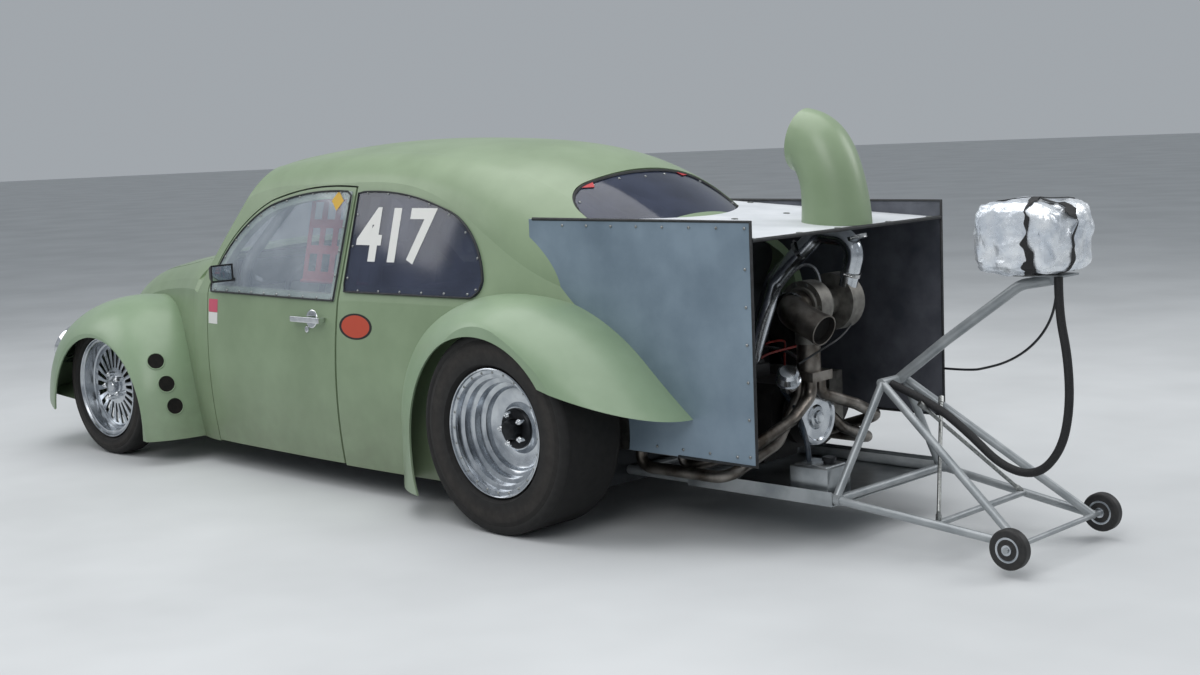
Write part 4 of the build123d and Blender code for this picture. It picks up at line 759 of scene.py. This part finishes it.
# %% Handles
metal("chrome_plate", "C9CCCF", "E6E8EA", 0.08, 30)
start_material("mirror_glass", "B9C2C8", metallic=1.0, roughness=0.03)
GRIP = (0.022, 0.036)  # the bar's inner and outer face, metres off the door
for side, label in SIDES:
    found, out = beside(f"{label}_door", 1074, 624, side)
    low, high = sorted((found.y + side * GRIP[0], found.y + side * GRIP[1]))
    grip = block(
        f"{label}_handle", (at(988, 0, 0).x, low, 0.614), (at(1160, 0, 0).x, high, 0.634)
    )
    divide(grip, 7)
    pick(lambda middle, normal: normal.y * side < -0.5 and abs(middle.x - found.x) > 0.055)
    extrude((0, -side * 0.024, 0))
    finish(grip, f"{label}_door", "chrome_plate", 0, 1, 60)
    spun(
        f"{label}_handle_dish", found + out * 0.0002, out,
        [(0, 0), (0.3, 22), (1.6, 30), (1.0, 33), (-0.5, 34)],
        36, f"{label}_door", "chrome_plate", 60,
    )
    lock, lock_out = beside(f"{label}_door", 1100, 585, side)
    spun(
        f"{label}_lock", lock, lock_out,
        [(-1, 12), (2.5, 12), (4, 10), (4, 5), (2.5, 4.5), (2.5, 0)],
        24, f"{label}_door", "chrome_plate", 40,
    )
print("handle stands", GRIP[1], "m off the door at y", round(found.y, 3))

# %% Mirrors
for side, label in SIDES:
    root, out = beside(f"{label}_door_pane", 1600, 745, side)
    centre = root + Vector((0.01, side * 0.06, 0.03))
    half = Vector((0.022, 0.05, 0.034))
    shell = block(f"{label}_mirror", centre - half, centre + half)
    step_face(shell, (-1, 0, 0), 0.005, -0.004)
    pick(lambda middle, normal: normal.x > 0.5)
    bpy.ops.transform.resize(value=(1, 0.62, 0.62))
    finish(shell, f"{label}_door", "black_composite", 0.006)
    glass = block(
        f"{label}_mirror_glass",
        centre + Vector((-0.0195, -0.043, -0.027)),
        centre + Vector((-0.0175, 0.043, 0.027)),
    )
    finish(glass, f"{label}_door", "mirror_glass", 0.0008)
    arm = [
        root - out * 0.002,
        root + out * 0.02 + Vector((0, 0, 0.004)),
        centre - Vector((0, side * 0.03, 0.01)),
    ]
    run(f"{label}_mirror_arm", arm, 0.011, f"{label}_door", "black_composite")

# %% [markdown]
# ## Wheels
# The rear rims are spun aluminium: a deep dish in steps, polished, with a ring of small
# screws on the first step and a dark hub with five nuts. The front rims are the same metal
# with a cut face: radial slots between narrow spokes. Each rim is a spun profile, so the
# steps catch the light as turned metal does, and each takes the place of its plain solid.

# %% Rims
metal("black_anodised_hub", "17181A", "26282B", 0.35, 20, metallic=0.7)
nut = stud("wheel_nut", 6, 0.011, 0.022, 0.002, 0.003)
bpy.ops.mesh.inset(thickness=0.004)
extrude((0, 0, 0.006))
clear()
apply_modifier(nut, "BEVEL", width=0.001, segments=1, limit_method="ANGLE")


def circle_spots(centre, radius, count, along, side):
    """Places on a circle about an axle, facing outwards."""
    turns = [2 * math.pi * index / count for index in range(count)]
    return [
        (centre + Vector((radius * math.cos(a), side * along, radius * math.sin(a))), (0, side, 0))
        for a in turns
    ]


REAR_PROFILE = [
    (0, 208), (1.5, 205), (0, 202), (-9, 199), (-11, 194), (-11, 188), (-30, 186), (-33, 176),
    (-35, 172), (-58, 170), (-61, 159), (-63, 155), (-88, 152), (-91, 140), (-94, 136),
    (-112, 130), (-118, 118), (-120, 84), (-112, 74), (-104, 70), (-104, 16.1), (-178, 16.1),
    (-178, 52), (-132, 74), (-132, 118), (-126, 150), (-100, 160), (-70, 176), (-40, 186),
    (-14, 187.5), (-9, 189.7), (-6, 205), (-4, 208), (0, 208),
]
REAR_BACK = [
    (-14, 189.6), (-14, 187.4), (-120, 187.4), (-226, 184), (-240, 202), (-240, 208),
    (-234, 208), (-228, 189.6), (-14, 189.6),
]
for side, label in SIDES:
    centre, axis, wheel = at(0, side * 746, 328), (0, side, 0), f"{label}_rear_wheel"
    face = spun(
        f"{label}_rear_rim_face", centre, axis, REAR_PROFILE, 72, wheel, "polished_aluminium", 28
    )
    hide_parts(f"{label}_rear_rim")
    spun(f"{label}_rear_rim_barrel", centre, axis, REAR_BACK, 72, wheel, "polished_aluminium", 28)
    spun(
        f"{label}_rear_hub", centre, axis,
        [(-105, 66), (-98, 66), (-94, 62), (-93, 34), (-70, 32), (-62, 28), (-58, 20), (-58, 0)],
        40, wheel, "black_anodised_hub",
    )
    ring = circle_spots(centre, 0.048, 5, -0.095, side)
    fasten(nut, f"{label}_rear_nuts", ring, wheel, "chrome_plate", 30)
    ring = circle_spots(centre, 0.1935, 24, -0.0095, side)
    fasten(rivet, f"{label}_rear_rim_screws", ring, wheel)
print("rear rim face", len(face.data.polygons), "faces")

# %% Front rims
FRONT_BARREL = [
    (0, 208), (1, 205), (0, 202), (-7, 199), (-9, 192), (-9, 187), (-46, 181), (-49, 174),
    (-56, 172), (-66, 172), (-70, 184), (-84, 186), (-98, 202), (-98, 208), (-92, 208),
    (-86, 189.6), (-12, 189.6), (-6, 208), (0, 208),
]
SLOT_STEPS = 44
for side, label in SIDES:
    centre, axis, wheel = at(2400, side * 708, 281), (0, side, 0), f"{label}_front_wheel"
    outer = spun(
        f"{label}_front_rim_barrel", centre, axis, FRONT_BARREL, 72, wheel,
        "polished_aluminium", 28,
    )
    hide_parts(f"{label}_front_rim")
    star = turned(
        f"{label}_front_rim_star", centre,
        [(-60, 173), (-57, 160), (-54, 120), (-50, 76), (-48, 58), (-48, 17)], SLOT_STEPS, axis,
    )
    edit(star)

    def is_slot(middle, normal):
        """Every second sector, between the two plain rings."""
        away = middle - centre
        sector = int((math.atan2(away.z, away.x) + math.pi) / (2 * math.pi) * SLOT_STEPS + 0.001)
        return 0.076 < math.hypot(away.x, away.z) < 0.16 and sector % 2 == 0

    slots = pick(is_slot)
    bpy.ops.mesh.delete(type="FACE")
    clear()
    apply_modifier(star, "SOLIDIFY", thickness=0.009, offset=0)
    finish(star, wheel, "polished_aluminium", 0.0015, sharp=30)
    spun(
        f"{label}_front_hub", centre, axis,
        [(-52, 40), (-44, 40), (-41, 36), (-40, 28), (-22, 26), (-17, 22), (-15, 14), (-15, 0)],
        36, wheel, "polished_aluminium",
    )
    ring = circle_spots(centre, 0.0505, 5, -0.044, side)
    fasten(nut, f"{label}_front_nuts", ring, wheel, "chrome_plate", 30)
    spun(
        f"{label}_front_brake", centre, axis,
        [(-74, 22), (-74, 132), (-80, 134), (-84, 132), (-84, 22)],
        48, wheel, "cast_aluminium", 30,
    )
print("slots in a front rim:", slots)

# %% [markdown]
# ## Edge trim on the side panels
# The side panels are single sheets, and a black push-on rubber trim covers their cut edges.
# A strip along each edge, thicker than the sheet, is a square-cornered curve made a mesh.
# Small dome screws along the top, the rear and the foot show how the sheets are held.

# %% Panel trim
mottled("extruded_rubber_trim", "121314", "24272A", 0.6, 20)
for side, label in SIDES:
    y = side * 501.5
    edge = [at(-560, y, 273), at(-861, y, 273), at(-861, y, 987), at(30, y, 987)]
    run(f"{label}_panel_trim", edge, 0.011, "body", "extruded_rubber_trim", False, 2)
    places = [(x, 968) for x in range(-840, 0, 105)]
    places += [(-838, z) for z in range(300, 960, 110)]
    places += [(x, 296) for x in range(-790, -420, 105)]
    spots = [(at(x, y + side * 1.5, z), (0, side, 0)) for x, z in places]
    fasten(rivet, f"{label}_panel_screws", spots, "body")
edge = [at(-861, -497, 933), at(-861, 497, 933)]
run("deck_trim", edge, 0.012, "body", "extruded_rubber_trim", False, 2)

# %% Deck fasteners
button = stud("turn_fastener", 20, 0.011, 0.003, 0.003, -0.0014)
clear()
spots = []
for y in (-470, -235, 40, 235, 470):
    for x in (-835, -430, -90):
        found = hit("rear_deck", at(x, y, 1300), (0, 0, -1))
        if found:
            spots.append(found)
finish(repeat(button, "deck_fasteners", spots), "body", "zinc_plated_steel", 0.0004, sharp=30)
print("deck fasteners:", len(spots))

# %% Tape tabs on the rear window
edge = edge_spots("rear_window", 0.006, 0.02, -1, "x")
edge_low, edge_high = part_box("rear_window")
upper = [s for s in edge if s[0].z > edge_low.z + 0.6 * (edge_high.z - edge_low.z)]
for index, y in enumerate((0.27, -0.2)):
    place, out = min(upper, key=lambda s: abs(s[0].y - y))
    print("tape tab", index + 1, "at", [round(v, 3) for v in place])
    clear()
    bpy.ops.mesh.primitive_grid_add(x_subdivisions=6, y_subdivisions=4, size=0.06)
    tape = bpy.context.object
    stand = out.to_track_quat("Z", "Y").to_matrix().to_4x4()
    tape.matrix_world = Matrix.Translation(place + out * 0.003) @ stand
    tape.scale = (1, 0.5, 1)
    tape = placed(f"tape_tab_{index + 1}")
    apply_modifier(tape, "SOLIDIFY", thickness=0.0012, offset=0)
    finish(tape, "body", "red_cloth_tape", sharp=60)

# %% [markdown]
# ## Parachute pack
# The braking parachute is folded into a soft box of heat-proof aluminised cloth, laced shut
# and held down by black webbing. The cloth is stiff and glossy, so it creases into facets.
# A rounded box is inflated a little, then two displacements give it dents and sharp
# creases; the webbing bands sit on it as flat strips shrunk onto its surface.

# %% Pack body
pack_low, pack_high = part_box("chute_pack")
pack = block(
    "chute_bag",
    pack_low + Vector((0.012, 0.012, 0.001)),
    pack_high - Vector((0.008, 0.012, 0.014)),
)
apply_modifier(pack, "BEVEL", width=0.045, segments=4, limit_method="ANGLE")
divide(pack, 3)
clear()
apply_modifier(pack, "SUBSURF", levels=2, render_levels=2)
middle = (pack_low + pack_high) / 2
for vertex in pack.data.vertices:
    up = (vertex.co.z - pack_low.z) / (pack_high.z - pack_low.z)
    swell = 1 + 0.05 * math.sin(math.pi * min(1, max(0, up)))
    vertex.co.x = middle.x + (vertex.co.x - middle.x) * swell
    vertex.co.y = middle.y + (vertex.co.y - middle.y) * swell
dents = bpy.data.textures.new("bag_dents", "CLOUDS")
dents.noise_scale = 0.09
creases = bpy.data.textures.new("bag_creases", "VORONOI")
creases.noise_scale = 0.045
creases.weight_1, creases.weight_2 = -1.0, 1.0
apply_modifier(pack, "DISPLACE", texture=dents, strength=0.03, mid_level=0.6)
apply_modifier(pack, "DISPLACE", texture=creases, strength=0.012, mid_level=0.5)
for vertex in pack.data.vertices:
    vertex.co.z = max(vertex.co.z, pack_low.z + 0.0006)
_, tree, shader = start_material("aluminised_cloth", "D9DDE2", metallic=0.55, roughness=0.35)
wrinkle = mottle(tree, 26, 5)
tree.links.new(vary(tree, mottle(tree, 60, 3), "D2D9E2", "F1F4F7"), shader.inputs["Base Color"])
tree.links.new(span(tree, mottle(tree, 18, 3), 0.16, 0.42), shader.inputs["Roughness"])
relief(tree, shader, wrinkle, 5.0, 0.7)
finish(pack, "body", "aluminised_cloth", sharp=180)
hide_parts("chute_pack")
print("pack", [round(v, 3) for v in pack.dimensions], len(pack.data.polygons), "faces")


# %% Webbing round the pack
def band(name, plane, offset, width):
    """Flat webbing round the pack in one plane, shrunk onto it from outside."""
    clear()
    bpy.ops.mesh.primitive_cylinder_add(
        vertices=96, radius=0.26, depth=width, end_fill_type="NOTHING",
        rotation=(math.radians(90), 0, 0) if plane == "y" else (0, math.radians(90), 0),
        location=middle + (Vector((0, offset, 0)) if plane == "y" else Vector((offset, 0, 0))),
    )
    strip = placed(name)
    divide(strip, 2)
    clear()
    apply_modifier(
        strip, "SHRINKWRAP", target=pack, wrap_method="NEAREST_SURFACEPOINT", offset=0.0015
    )
    apply_modifier(strip, "SMOOTH", iterations=10, factor=0.5)
    apply_modifier(strip, "SOLIDIFY", thickness=0.0022, offset=1)
    finish(strip, "body", "black_nylon_strap", sharp=40)


band("bag_band_rear", "x", -0.05, 0.026)
band("bag_band_side", "y", 0.03, 0.026)

# %% [markdown]
# ## Behind the car: bars and small wheels
# The small wheels have a black urethane tread on a turned hub, and the bars are braced by
# a cross of thin rods with threaded ends.

# %% Wheelie bar details
metal("black_urethane", "1A1A1B", "2B2A29", 0.55, 15, 0.2, metallic=0.0)
paint("black_urethane", *pair("bar_wheel"))
for side, label in SIDES:
    for face, sign in (("out", 1), ("in", -1)):
        spun(
            f"{label}_bar_hub_{face}", at(-1548, side * 267 + sign * 17, 80), (0, sign, 0),
            [(-1, 36), (0.6, 36), (0.6, 31), (-2, 27), (-2, 17), (4, 15), (4, 8.2), (-1, 8.2)],
            36, f"{label}_bar_wheel", "polished_aluminium",
        )
ROD_END = [(0, 0), (0, 9), (22, 9), (24, 7), (30, 7), (30, 0)]
for index, side in ((1, 1), (2, -1)):
    start, end = at(-1300, side * 233, 118), at(-1130, side * -60, 420)
    toward = (end - start).normalized()
    run(f"bar_brace_{index}", [start, end], 0.012, "body", "zinc_plated_steel", False)
    for where, spot, way, sides in (("foot", start, toward, 6), ("top", end, -toward, 12)):
        spun(
            f"bar_brace_end_{index}_{where}", spot, way, ROD_END, sides, "body",
            "zinc_plated_steel", 25,
        )

# %% [markdown]
# ## Engine bay
# From behind one looks between the side panels at the turbocharger, its polished outlet
# bend, the wide steel exhaust mouth, clamps, thin braided lines and plug leads. The big
# forms come with the frame. Clamps, rings and fittings are spun profiles set along the
# pipes, and lines are smooth curves made into meshes.

# %% Exhaust mouth and flanges
# near-black finish of the exhaust throat and the vent holes: real soot in the throat, and painted
# shade for the depth of both
mottled("sooted_steel", "080706", "1A1613", 0.9, 20, Metallic=0.3)
metal("stainless_steel", "8E8F8F", "BFC0C0", 0.22, 25)
MOUTH = at(-835, 150, 640)
toward = (MOUTH - at(-705, 142, 690)).normalized()
spun(
    "exhaust_mouth", MOUTH, toward,
    [(-2, 49), (14, 50), (22, 50.5), (23, 48), (22, 46), (4, 45), (4, 49), (-2, 49)],
    48, "body", "heat_tinted_steel",
)
# a near-black cap just inside the mouth: soot, and painted shade for the depth of the pipe
spun(
    "exhaust_throat", MOUTH, toward, [(21, 45.6), (2, 44), (1.2, 20), (1, 0)],
    48, "body", "sooted_steel",
)


def clamp(name, centre, axis, radius, width=12, bolt_turn=1.2):
    """Band clamp round a pipe: a spun band with rolled edges and a bolt across its ends."""
    half, rolled = width / 2, radius + 1.6
    band_piece = turned(
        f"{name}_band", centre,
        [(-half, radius), (-half, rolled), (0, radius + 1.0), (half, rolled), (half, radius),
         (-half, radius)],
        40, axis,
    )
    side_way = Vector(axis).normalized()
    out = side_way.orthogonal().normalized()
    out.rotate(Matrix.Rotation(bolt_turn, 3, side_way))
    across_way = side_way.cross(out)
    bolt_piece = turned(
        f"{name}_bolt", centre + out * (radius + 4) / 1000 - across_way * 0.014,
        [(0, 0), (0, 4.5), (5, 4.5), (5, 2.4), (24, 2.4), (24, 4.2), (28, 4.2), (28, 0)],
        12, across_way,
    )
    finish(joined(name, [band_piece, bolt_piece]), "body", "stainless_steel", sharp=35)


clamp("exhaust_clamp", at(-705, 118, 690), (0, 1, 0), 49, 16, 0)
clamp("outlet_clamp_top", at(-797, -115, 895), (0.25, 0, 1.0), 31.5)
clamp("outlet_clamp_low", at(-770, -115, 780), (-0.35, 0, 1.0), 31.5)
clamp("crossover_clamp", at(-590, -85, 850), (1.0, 0.3, -0.7), 31.5)

# %% Turbocharger fittings
spun(
    "compressor_cover", at(-705, -143, 690), (0, -1, 0),
    [(0, 92), (6, 92), (16, 86), (24, 70), (27, 56), (27, 50), (40, 47), (44, 48), (44, 42),
     (10, 40), (4, 0)],
    64, "body", "cast_aluminium", 30,
)
bolt = stud("bolt_head", 6, 0.0065, 0.007, 0.0015, 0.0012)
clear()
spots = circle_spots(at(-705, 58, 690), 0.07, 10, 0, 1)
fasten(bolt, "turbine_bolts", spots, "body", sharp=30)
spun(
    "turbine_ring", at(-705, 58, 690), (0, 1, 0),
    [(0, 80), (4, 80), (4, 62), (9, 58), (9, 50), (0, 50)],
    56, "body", "cast_aluminium", 30,
)
spun(
    "wastegate", at(-720, 160, 470), (-0.4, 0.5, 0.75),
    [(-34, 0), (-34, 24), (-20, 26), (-16, 34), (-2, 36), (2, 40), (6, 40), (10, 36),
     (34, 34), (44, 26), (46, 10), (46, 0)],
    40, "body", "polished_aluminium", 30,
)


# %% Hoses, leads and lines
def braid(name, code_low, code_high, pitch_mm, metallic):
    """Braided sleeve: crossed strands drawn as a fine checker along the object."""
    _, tree, shader = start_material(name, code_high, metallic=metallic, roughness=0.35)
    spread = own_place(tree, Scale=[1000 / pitch_mm] * 3, Rotation=(0.6, 0.5, 0.8))
    cells = add_node(
        tree,
        "ShaderNodeTexChecker",
        {"Scale": 1.0, "Color1": colour(code_low), "Color2": colour(code_high)},
        {"Vector": spread},
    )
    tree.links.new(cells.outputs["Color"], shader.inputs["Base Color"])
    relief(tree, shader, cells.outputs["Fac"], 0.3, 0.6)


braid("stainless_braid", "6B6D70", "C4C6C8", 2.5, 0.9)
mottled("silicone_hose", "1A222B", "2A3540", 0.5, 12, 2)
mottled("red_lead_rubber", "7D221D", "9F332B", 0.45, 15, 2)
lines = [
    # name, thickness, material, route in millimetres
    ("oil_feed", 11, "stainless_braid", [
        (-705, -40, 732), (-705, -40, 800), (-640, -20, 820), (-560, 30, 700),
        (-520, 60, 560), (-500, 60, 438),
    ]),
    ("oil_return", 17, "stainless_braid", [
        (-705, -40, 650), (-700, -40, 600), (-672, -50, 520), (-640, -70, 440), (-612, -80, 400),
    ]),
    ("fuel_line", 12, "stainless_braid", [
        (-160, -230, 520), (-300, -225, 505), (-420, -220, 500), (-520, -170, 480),
        (-560, -90, 455), (-560, -60, 436),
    ]),
    ("boost_line", 7, "black_cable_sleeve", [
        (-740, 130, 520), (-780, 60, 560), (-790, -40, 590), (-770, -110, 618),
    ]),
]
for side, label in SIDES:
    for index, x in enumerate((-300, -440)):
        coil = -420 - 14 * index
        route = [
            (x, side * 372, 414), (x, side * 372, 470), (x - 40, side * 330, 520),
            (x - 30, side * 200, 515), (coil, side * 70, 500), (coil, side * 40, 478),
        ]
        lines.append((f"plug_lead_{label}_{index + 1}", 8, "red_lead_rubber", route))
for name, thickness, material, route in lines:
    run(name, [at(*p) for p in route], thickness / 1000, "body", material, sides=2)
coils = block("coil_pack", at(-480, -60, 438), at(-390, 60, 482))
step_face(coils, (0, 0, 1), 0.012, 0.012)
finish(coils, "body", "black_composite", 0.004)

# %% Pulley and catch tank
spun(
    "crank_pulley", at(-700, 0, 330), (-1, 0, 0),
    [(0, 90), (3, 90), (3, 84), (8, 80), (13, 84), (13, 88), (15, 88), (15, 76), (9, 70),
     (6, 40), (12, 34), (14, 22), (20, 20), (22, 12), (22, 0)],
    56, "body", "polished_aluminium", 30,
)
tank = block("catch_tank", at(-940, 150, 137), at(-800, 268, 232))
step_face(tank, (0, 0, 1), 0.01, 0.006)
finish(tank, "body", "bare_aluminium_sheet", 0.006)
spun(
    "catch_tank_cap", at(-905, 210, 238), (0, 0, 1),
    [(-2, 18), (10, 18), (10, 22), (20, 22), (22, 19), (22, 0)],
    24, "body", "black_anodised_hub", 30,
)
route = [
    (-830, 210, 236), (-830, 210, 270), (-800, 190, 320), (-730, 120, 350), (-650, 70, 400),
    (-600, 60, 436),
]
run("breather_hose", [at(*p) for p in route], 0.016, "body", "silicone_hose", sides=2)
print("engine bay dressed")

# %% [markdown]
# ## Intake scoop
# The scoop is one moulded funnel that rises from the deck and bends forwards to an open
# mouth. A rounded outline is extruded upwards in short steps, each one shifted, tilted and
# scaled, which is how a bent funnel grows from its foot; then it gets its wall.

# %% Scoop
scoop_low, scoop_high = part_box("air_scoop")
foot = Vector(((scoop_low.x + scoop_high.x) / 2 - 0.045, -0.1, 0.937))
clear()
bpy.ops.mesh.primitive_circle_add(vertices=40, radius=1, fill_type="NOTHING", location=foot)
bpy.context.object.scale = (0.118, 0.101, 1)
scoop = placed("intake_scoop")
edit(scoop, "VERT")
take_all()
steps = [
    # rise and forward shift in millimetres, tilt in degrees, length and width factors
    (45, 0, 0, 0.97, 0.99), (45, 4, 2, 0.96, 0.99), (45, 8, 5, 0.96, 1.0),
    (39, 12, 9, 0.98, 1.0), (33, 15, 12, 1.0, 1.0), (26, 17, 14, 1.0, 1.0),
    (19, 20, 14, 0.98, 0.99), (12, 24, 12, 0.97, 0.98), (4, 26, 8, 0.98, 0.98),
]
here = foot.copy()
for rise, shift, tilt, longer, wider in steps:
    move = Vector((shift / 1000, 0, rise / 1000))
    bpy.ops.mesh.extrude_edges_move(TRANSFORM_OT_translate={"value": move})
    here += move
    bpy.ops.transform.rotate(value=-math.radians(tilt), orient_axis="Y", center_override=here)
    mesh = bmesh.from_edit_mesh(scoop.data)
    for vertex in mesh.verts:
        if vertex.select:
            vertex.co.y = here.y + (vertex.co.y - here.y) * wider
            vertex.co.x = here.x + (vertex.co.x - here.x) * longer
    bmesh.update_edit_mesh(scoop.data)
clear()
apply_modifier(scoop, "SUBSURF", levels=2, render_levels=2)
apply_modifier(scoop, "SOLIDIFY", thickness=0.005, offset=-1)
finish(scoop, "body", "pistachio_two_pack_paint", 0, 0, 50)
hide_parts("air_scoop")
top = max(v.co.z for v in scoop.data.vertices)
print("scoop top", round(top, 3), "solid's top", round(scoop_high.z, 3))

# %% [markdown]
# ## Window gaskets and the number
# A thin black gasket runs round each pane. The race number is a plain made-up one, in cut
# white vinyl: the digits are made a mesh, divided finely and projected on the pane.

# %% Gaskets
# inset, lift and thickness in metres, for the side panes and for the two screens
GASKET = {"y": (0.002, 0.0012, 0.007), "x": (0.004, 0.0015, 0.012)}
for node, body, side, axis, _, _ in panes:
    inset, lift, thickness = GASKET[axis]
    path = [place + out * lift for place, out in edge_spots(node, inset, 0.035, side, axis)]
    path.append(path[0])
    run(f"{node}_gasket", path, thickness, body, "extruded_rubber_trim", False, 1)

# %% Number
NUMBER_PLACE = at(668, 0, 918)
for side, label in SIDES:
    clear()
    bpy.ops.object.text_add(location=(0, 0, 0))
    digits = bpy.context.object
    digits.data.body = "417"
    digits.data.size = 0.25
    digits.data.offset = 0.007
    digits.data.align_x, digits.data.align_y = "CENTER", "CENTER"
    bpy.ops.object.convert(target="MESH")
    digits = bpy.context.object
    digits.scale = (1.02, 1, 1)
    digits.rotation_euler = (math.radians(90), 0, math.radians(180 if side > 0 else 0))
    digits.location = (NUMBER_PLACE.x, side * FILM_START, NUMBER_PLACE.z)
    digits = placed(f"{label}_number")
    edit(digits)
    take_all()
    bpy.ops.mesh.quads_convert_to_tris()
    bpy.ops.mesh.subdivide(number_cuts=3)
    clear()
    project(digits, f"{label}_quarter_pane", 0.0008)
    finish(digits, "body", "white_vinyl", sharp=60)
    print(label, "number", [round(v, 3) for v in digits.dimensions])

# %% [markdown]
# ## Front fender vents and lamps
# Three round vents in the rear of each front fender let out the air of the wheel house.
# Each is a rolled rim round a near-black disc, laid on the fender where a ray meets it; the hole is
# not cut, and the disc is painted shade for its depth. The headlamps sit in the front of the
# fenders: a chromed ring round a domed, clear lens.

# %% Vents and lamps
for side, label in SIDES:
    for index, (y, z) in enumerate(((690, 412), (676, 322), (660, 232))):
        place, out = hit(f"{label}_front_fender", at(1500, side * y, z), (1, 0, 0))
        spun(
            f"{label}_vent_{index + 1}", place, out,
            [(-4, 36), (2.5, 36), (3.2, 33.5), (1.5, 31.5), (-1.5, 31)],
            36, "body", "pistachio_gel_coat", 50,
        )
        # painted shade: a near-black disc stands for the depth of the vent hole
        spun(
            f"{label}_vent_hole_{index + 1}", place, out, [(1.0, 32), (0.4, 15), (0.4, 0)],
            36, "body", "sooted_steel", 50,
        )
    place, out = hit(f"{label}_front_fender", at(3400, side * 590, 430), (-1, 0, 0))
    out = (out + Vector((0.25, 0, 0))).normalized()
    place = place - out * 0.004
    print(label, "lamp faces", [round(v, 2) for v in out])
    spun(
        f"{label}_lamp_ring", place, out,
        [(-26, 92), (4, 92), (9, 88), (10, 82), (6, 78), (-6, 77)],
        56, "body", "chrome_plate", 40,
    )
    spun(
        f"{label}_lamp_bowl", place, out, [(2, 77), (-18, 60), (-28, 30), (-30, 0)],
        48, "body", "polished_aluminium", 60,
    )
    lens = turned(f"{label}_lamp_lens", place, [(3, 78), (7, 66), (11, 40), (12, 0)], 48, out)
    apply_modifier(lens, "SOLIDIFY", thickness=0.003, offset=-1)
    finish(lens, "body", "clear_polycarbonate", sharp=60)

# %% [markdown]
# ## In the cabin
# Through the panes one sees the seat with its harness and a plain dash panel.

# %% Harness and dash
HALF_BELT = Vector((0, 0.036, 0))
SEAT_MIDDLE = 300  # millimetres left of the car's middle
for index, y in enumerate((230, 370)):
    inwards = SEAT_MIDDLE - y
    route = [
        at(1020, y, 775), at(1062, y, 690), at(1110, y + inwards * 0.3, 470),
        at(1180, y + inwards * 0.7, 300), at(1215, SEAT_MIDDLE, 262),
    ]
    belt = drawn(f"harness_{index + 1}", [spot - HALF_BELT for spot in route])
    bpy.ops.mesh.extrude_edges_move(TRANSFORM_OT_translate={"value": 2 * HALF_BELT})
    clear()
    apply_modifier(belt, "SUBSURF", levels=2, render_levels=2)
    apply_modifier(belt, "SOLIDIFY", thickness=0.003, offset=0)
    finish(belt, "body", "red_nylon_webbing", sharp=60)
spun(
    "harness_buckle", at(1222, SEAT_MIDDLE, 262), (1, 0, 0.5),
    [(-6, 30), (10, 30), (14, 26), (14, 10), (18, 8), (18, 0)],
    32, "body", "zinc_plated_steel",
)
dash = block("dash_panel", at(1800, -430, 690), at(1812, 430, 800))
step_face(dash, (-1, 0, 0), 0.012, -0.004)
finish(dash, "body", "black_composite", 0.004)
print("cabin dressed")

# %% Remove the templates
for template in (rivet, nut, button, bolt):
    bpy.data.objects.remove(template)
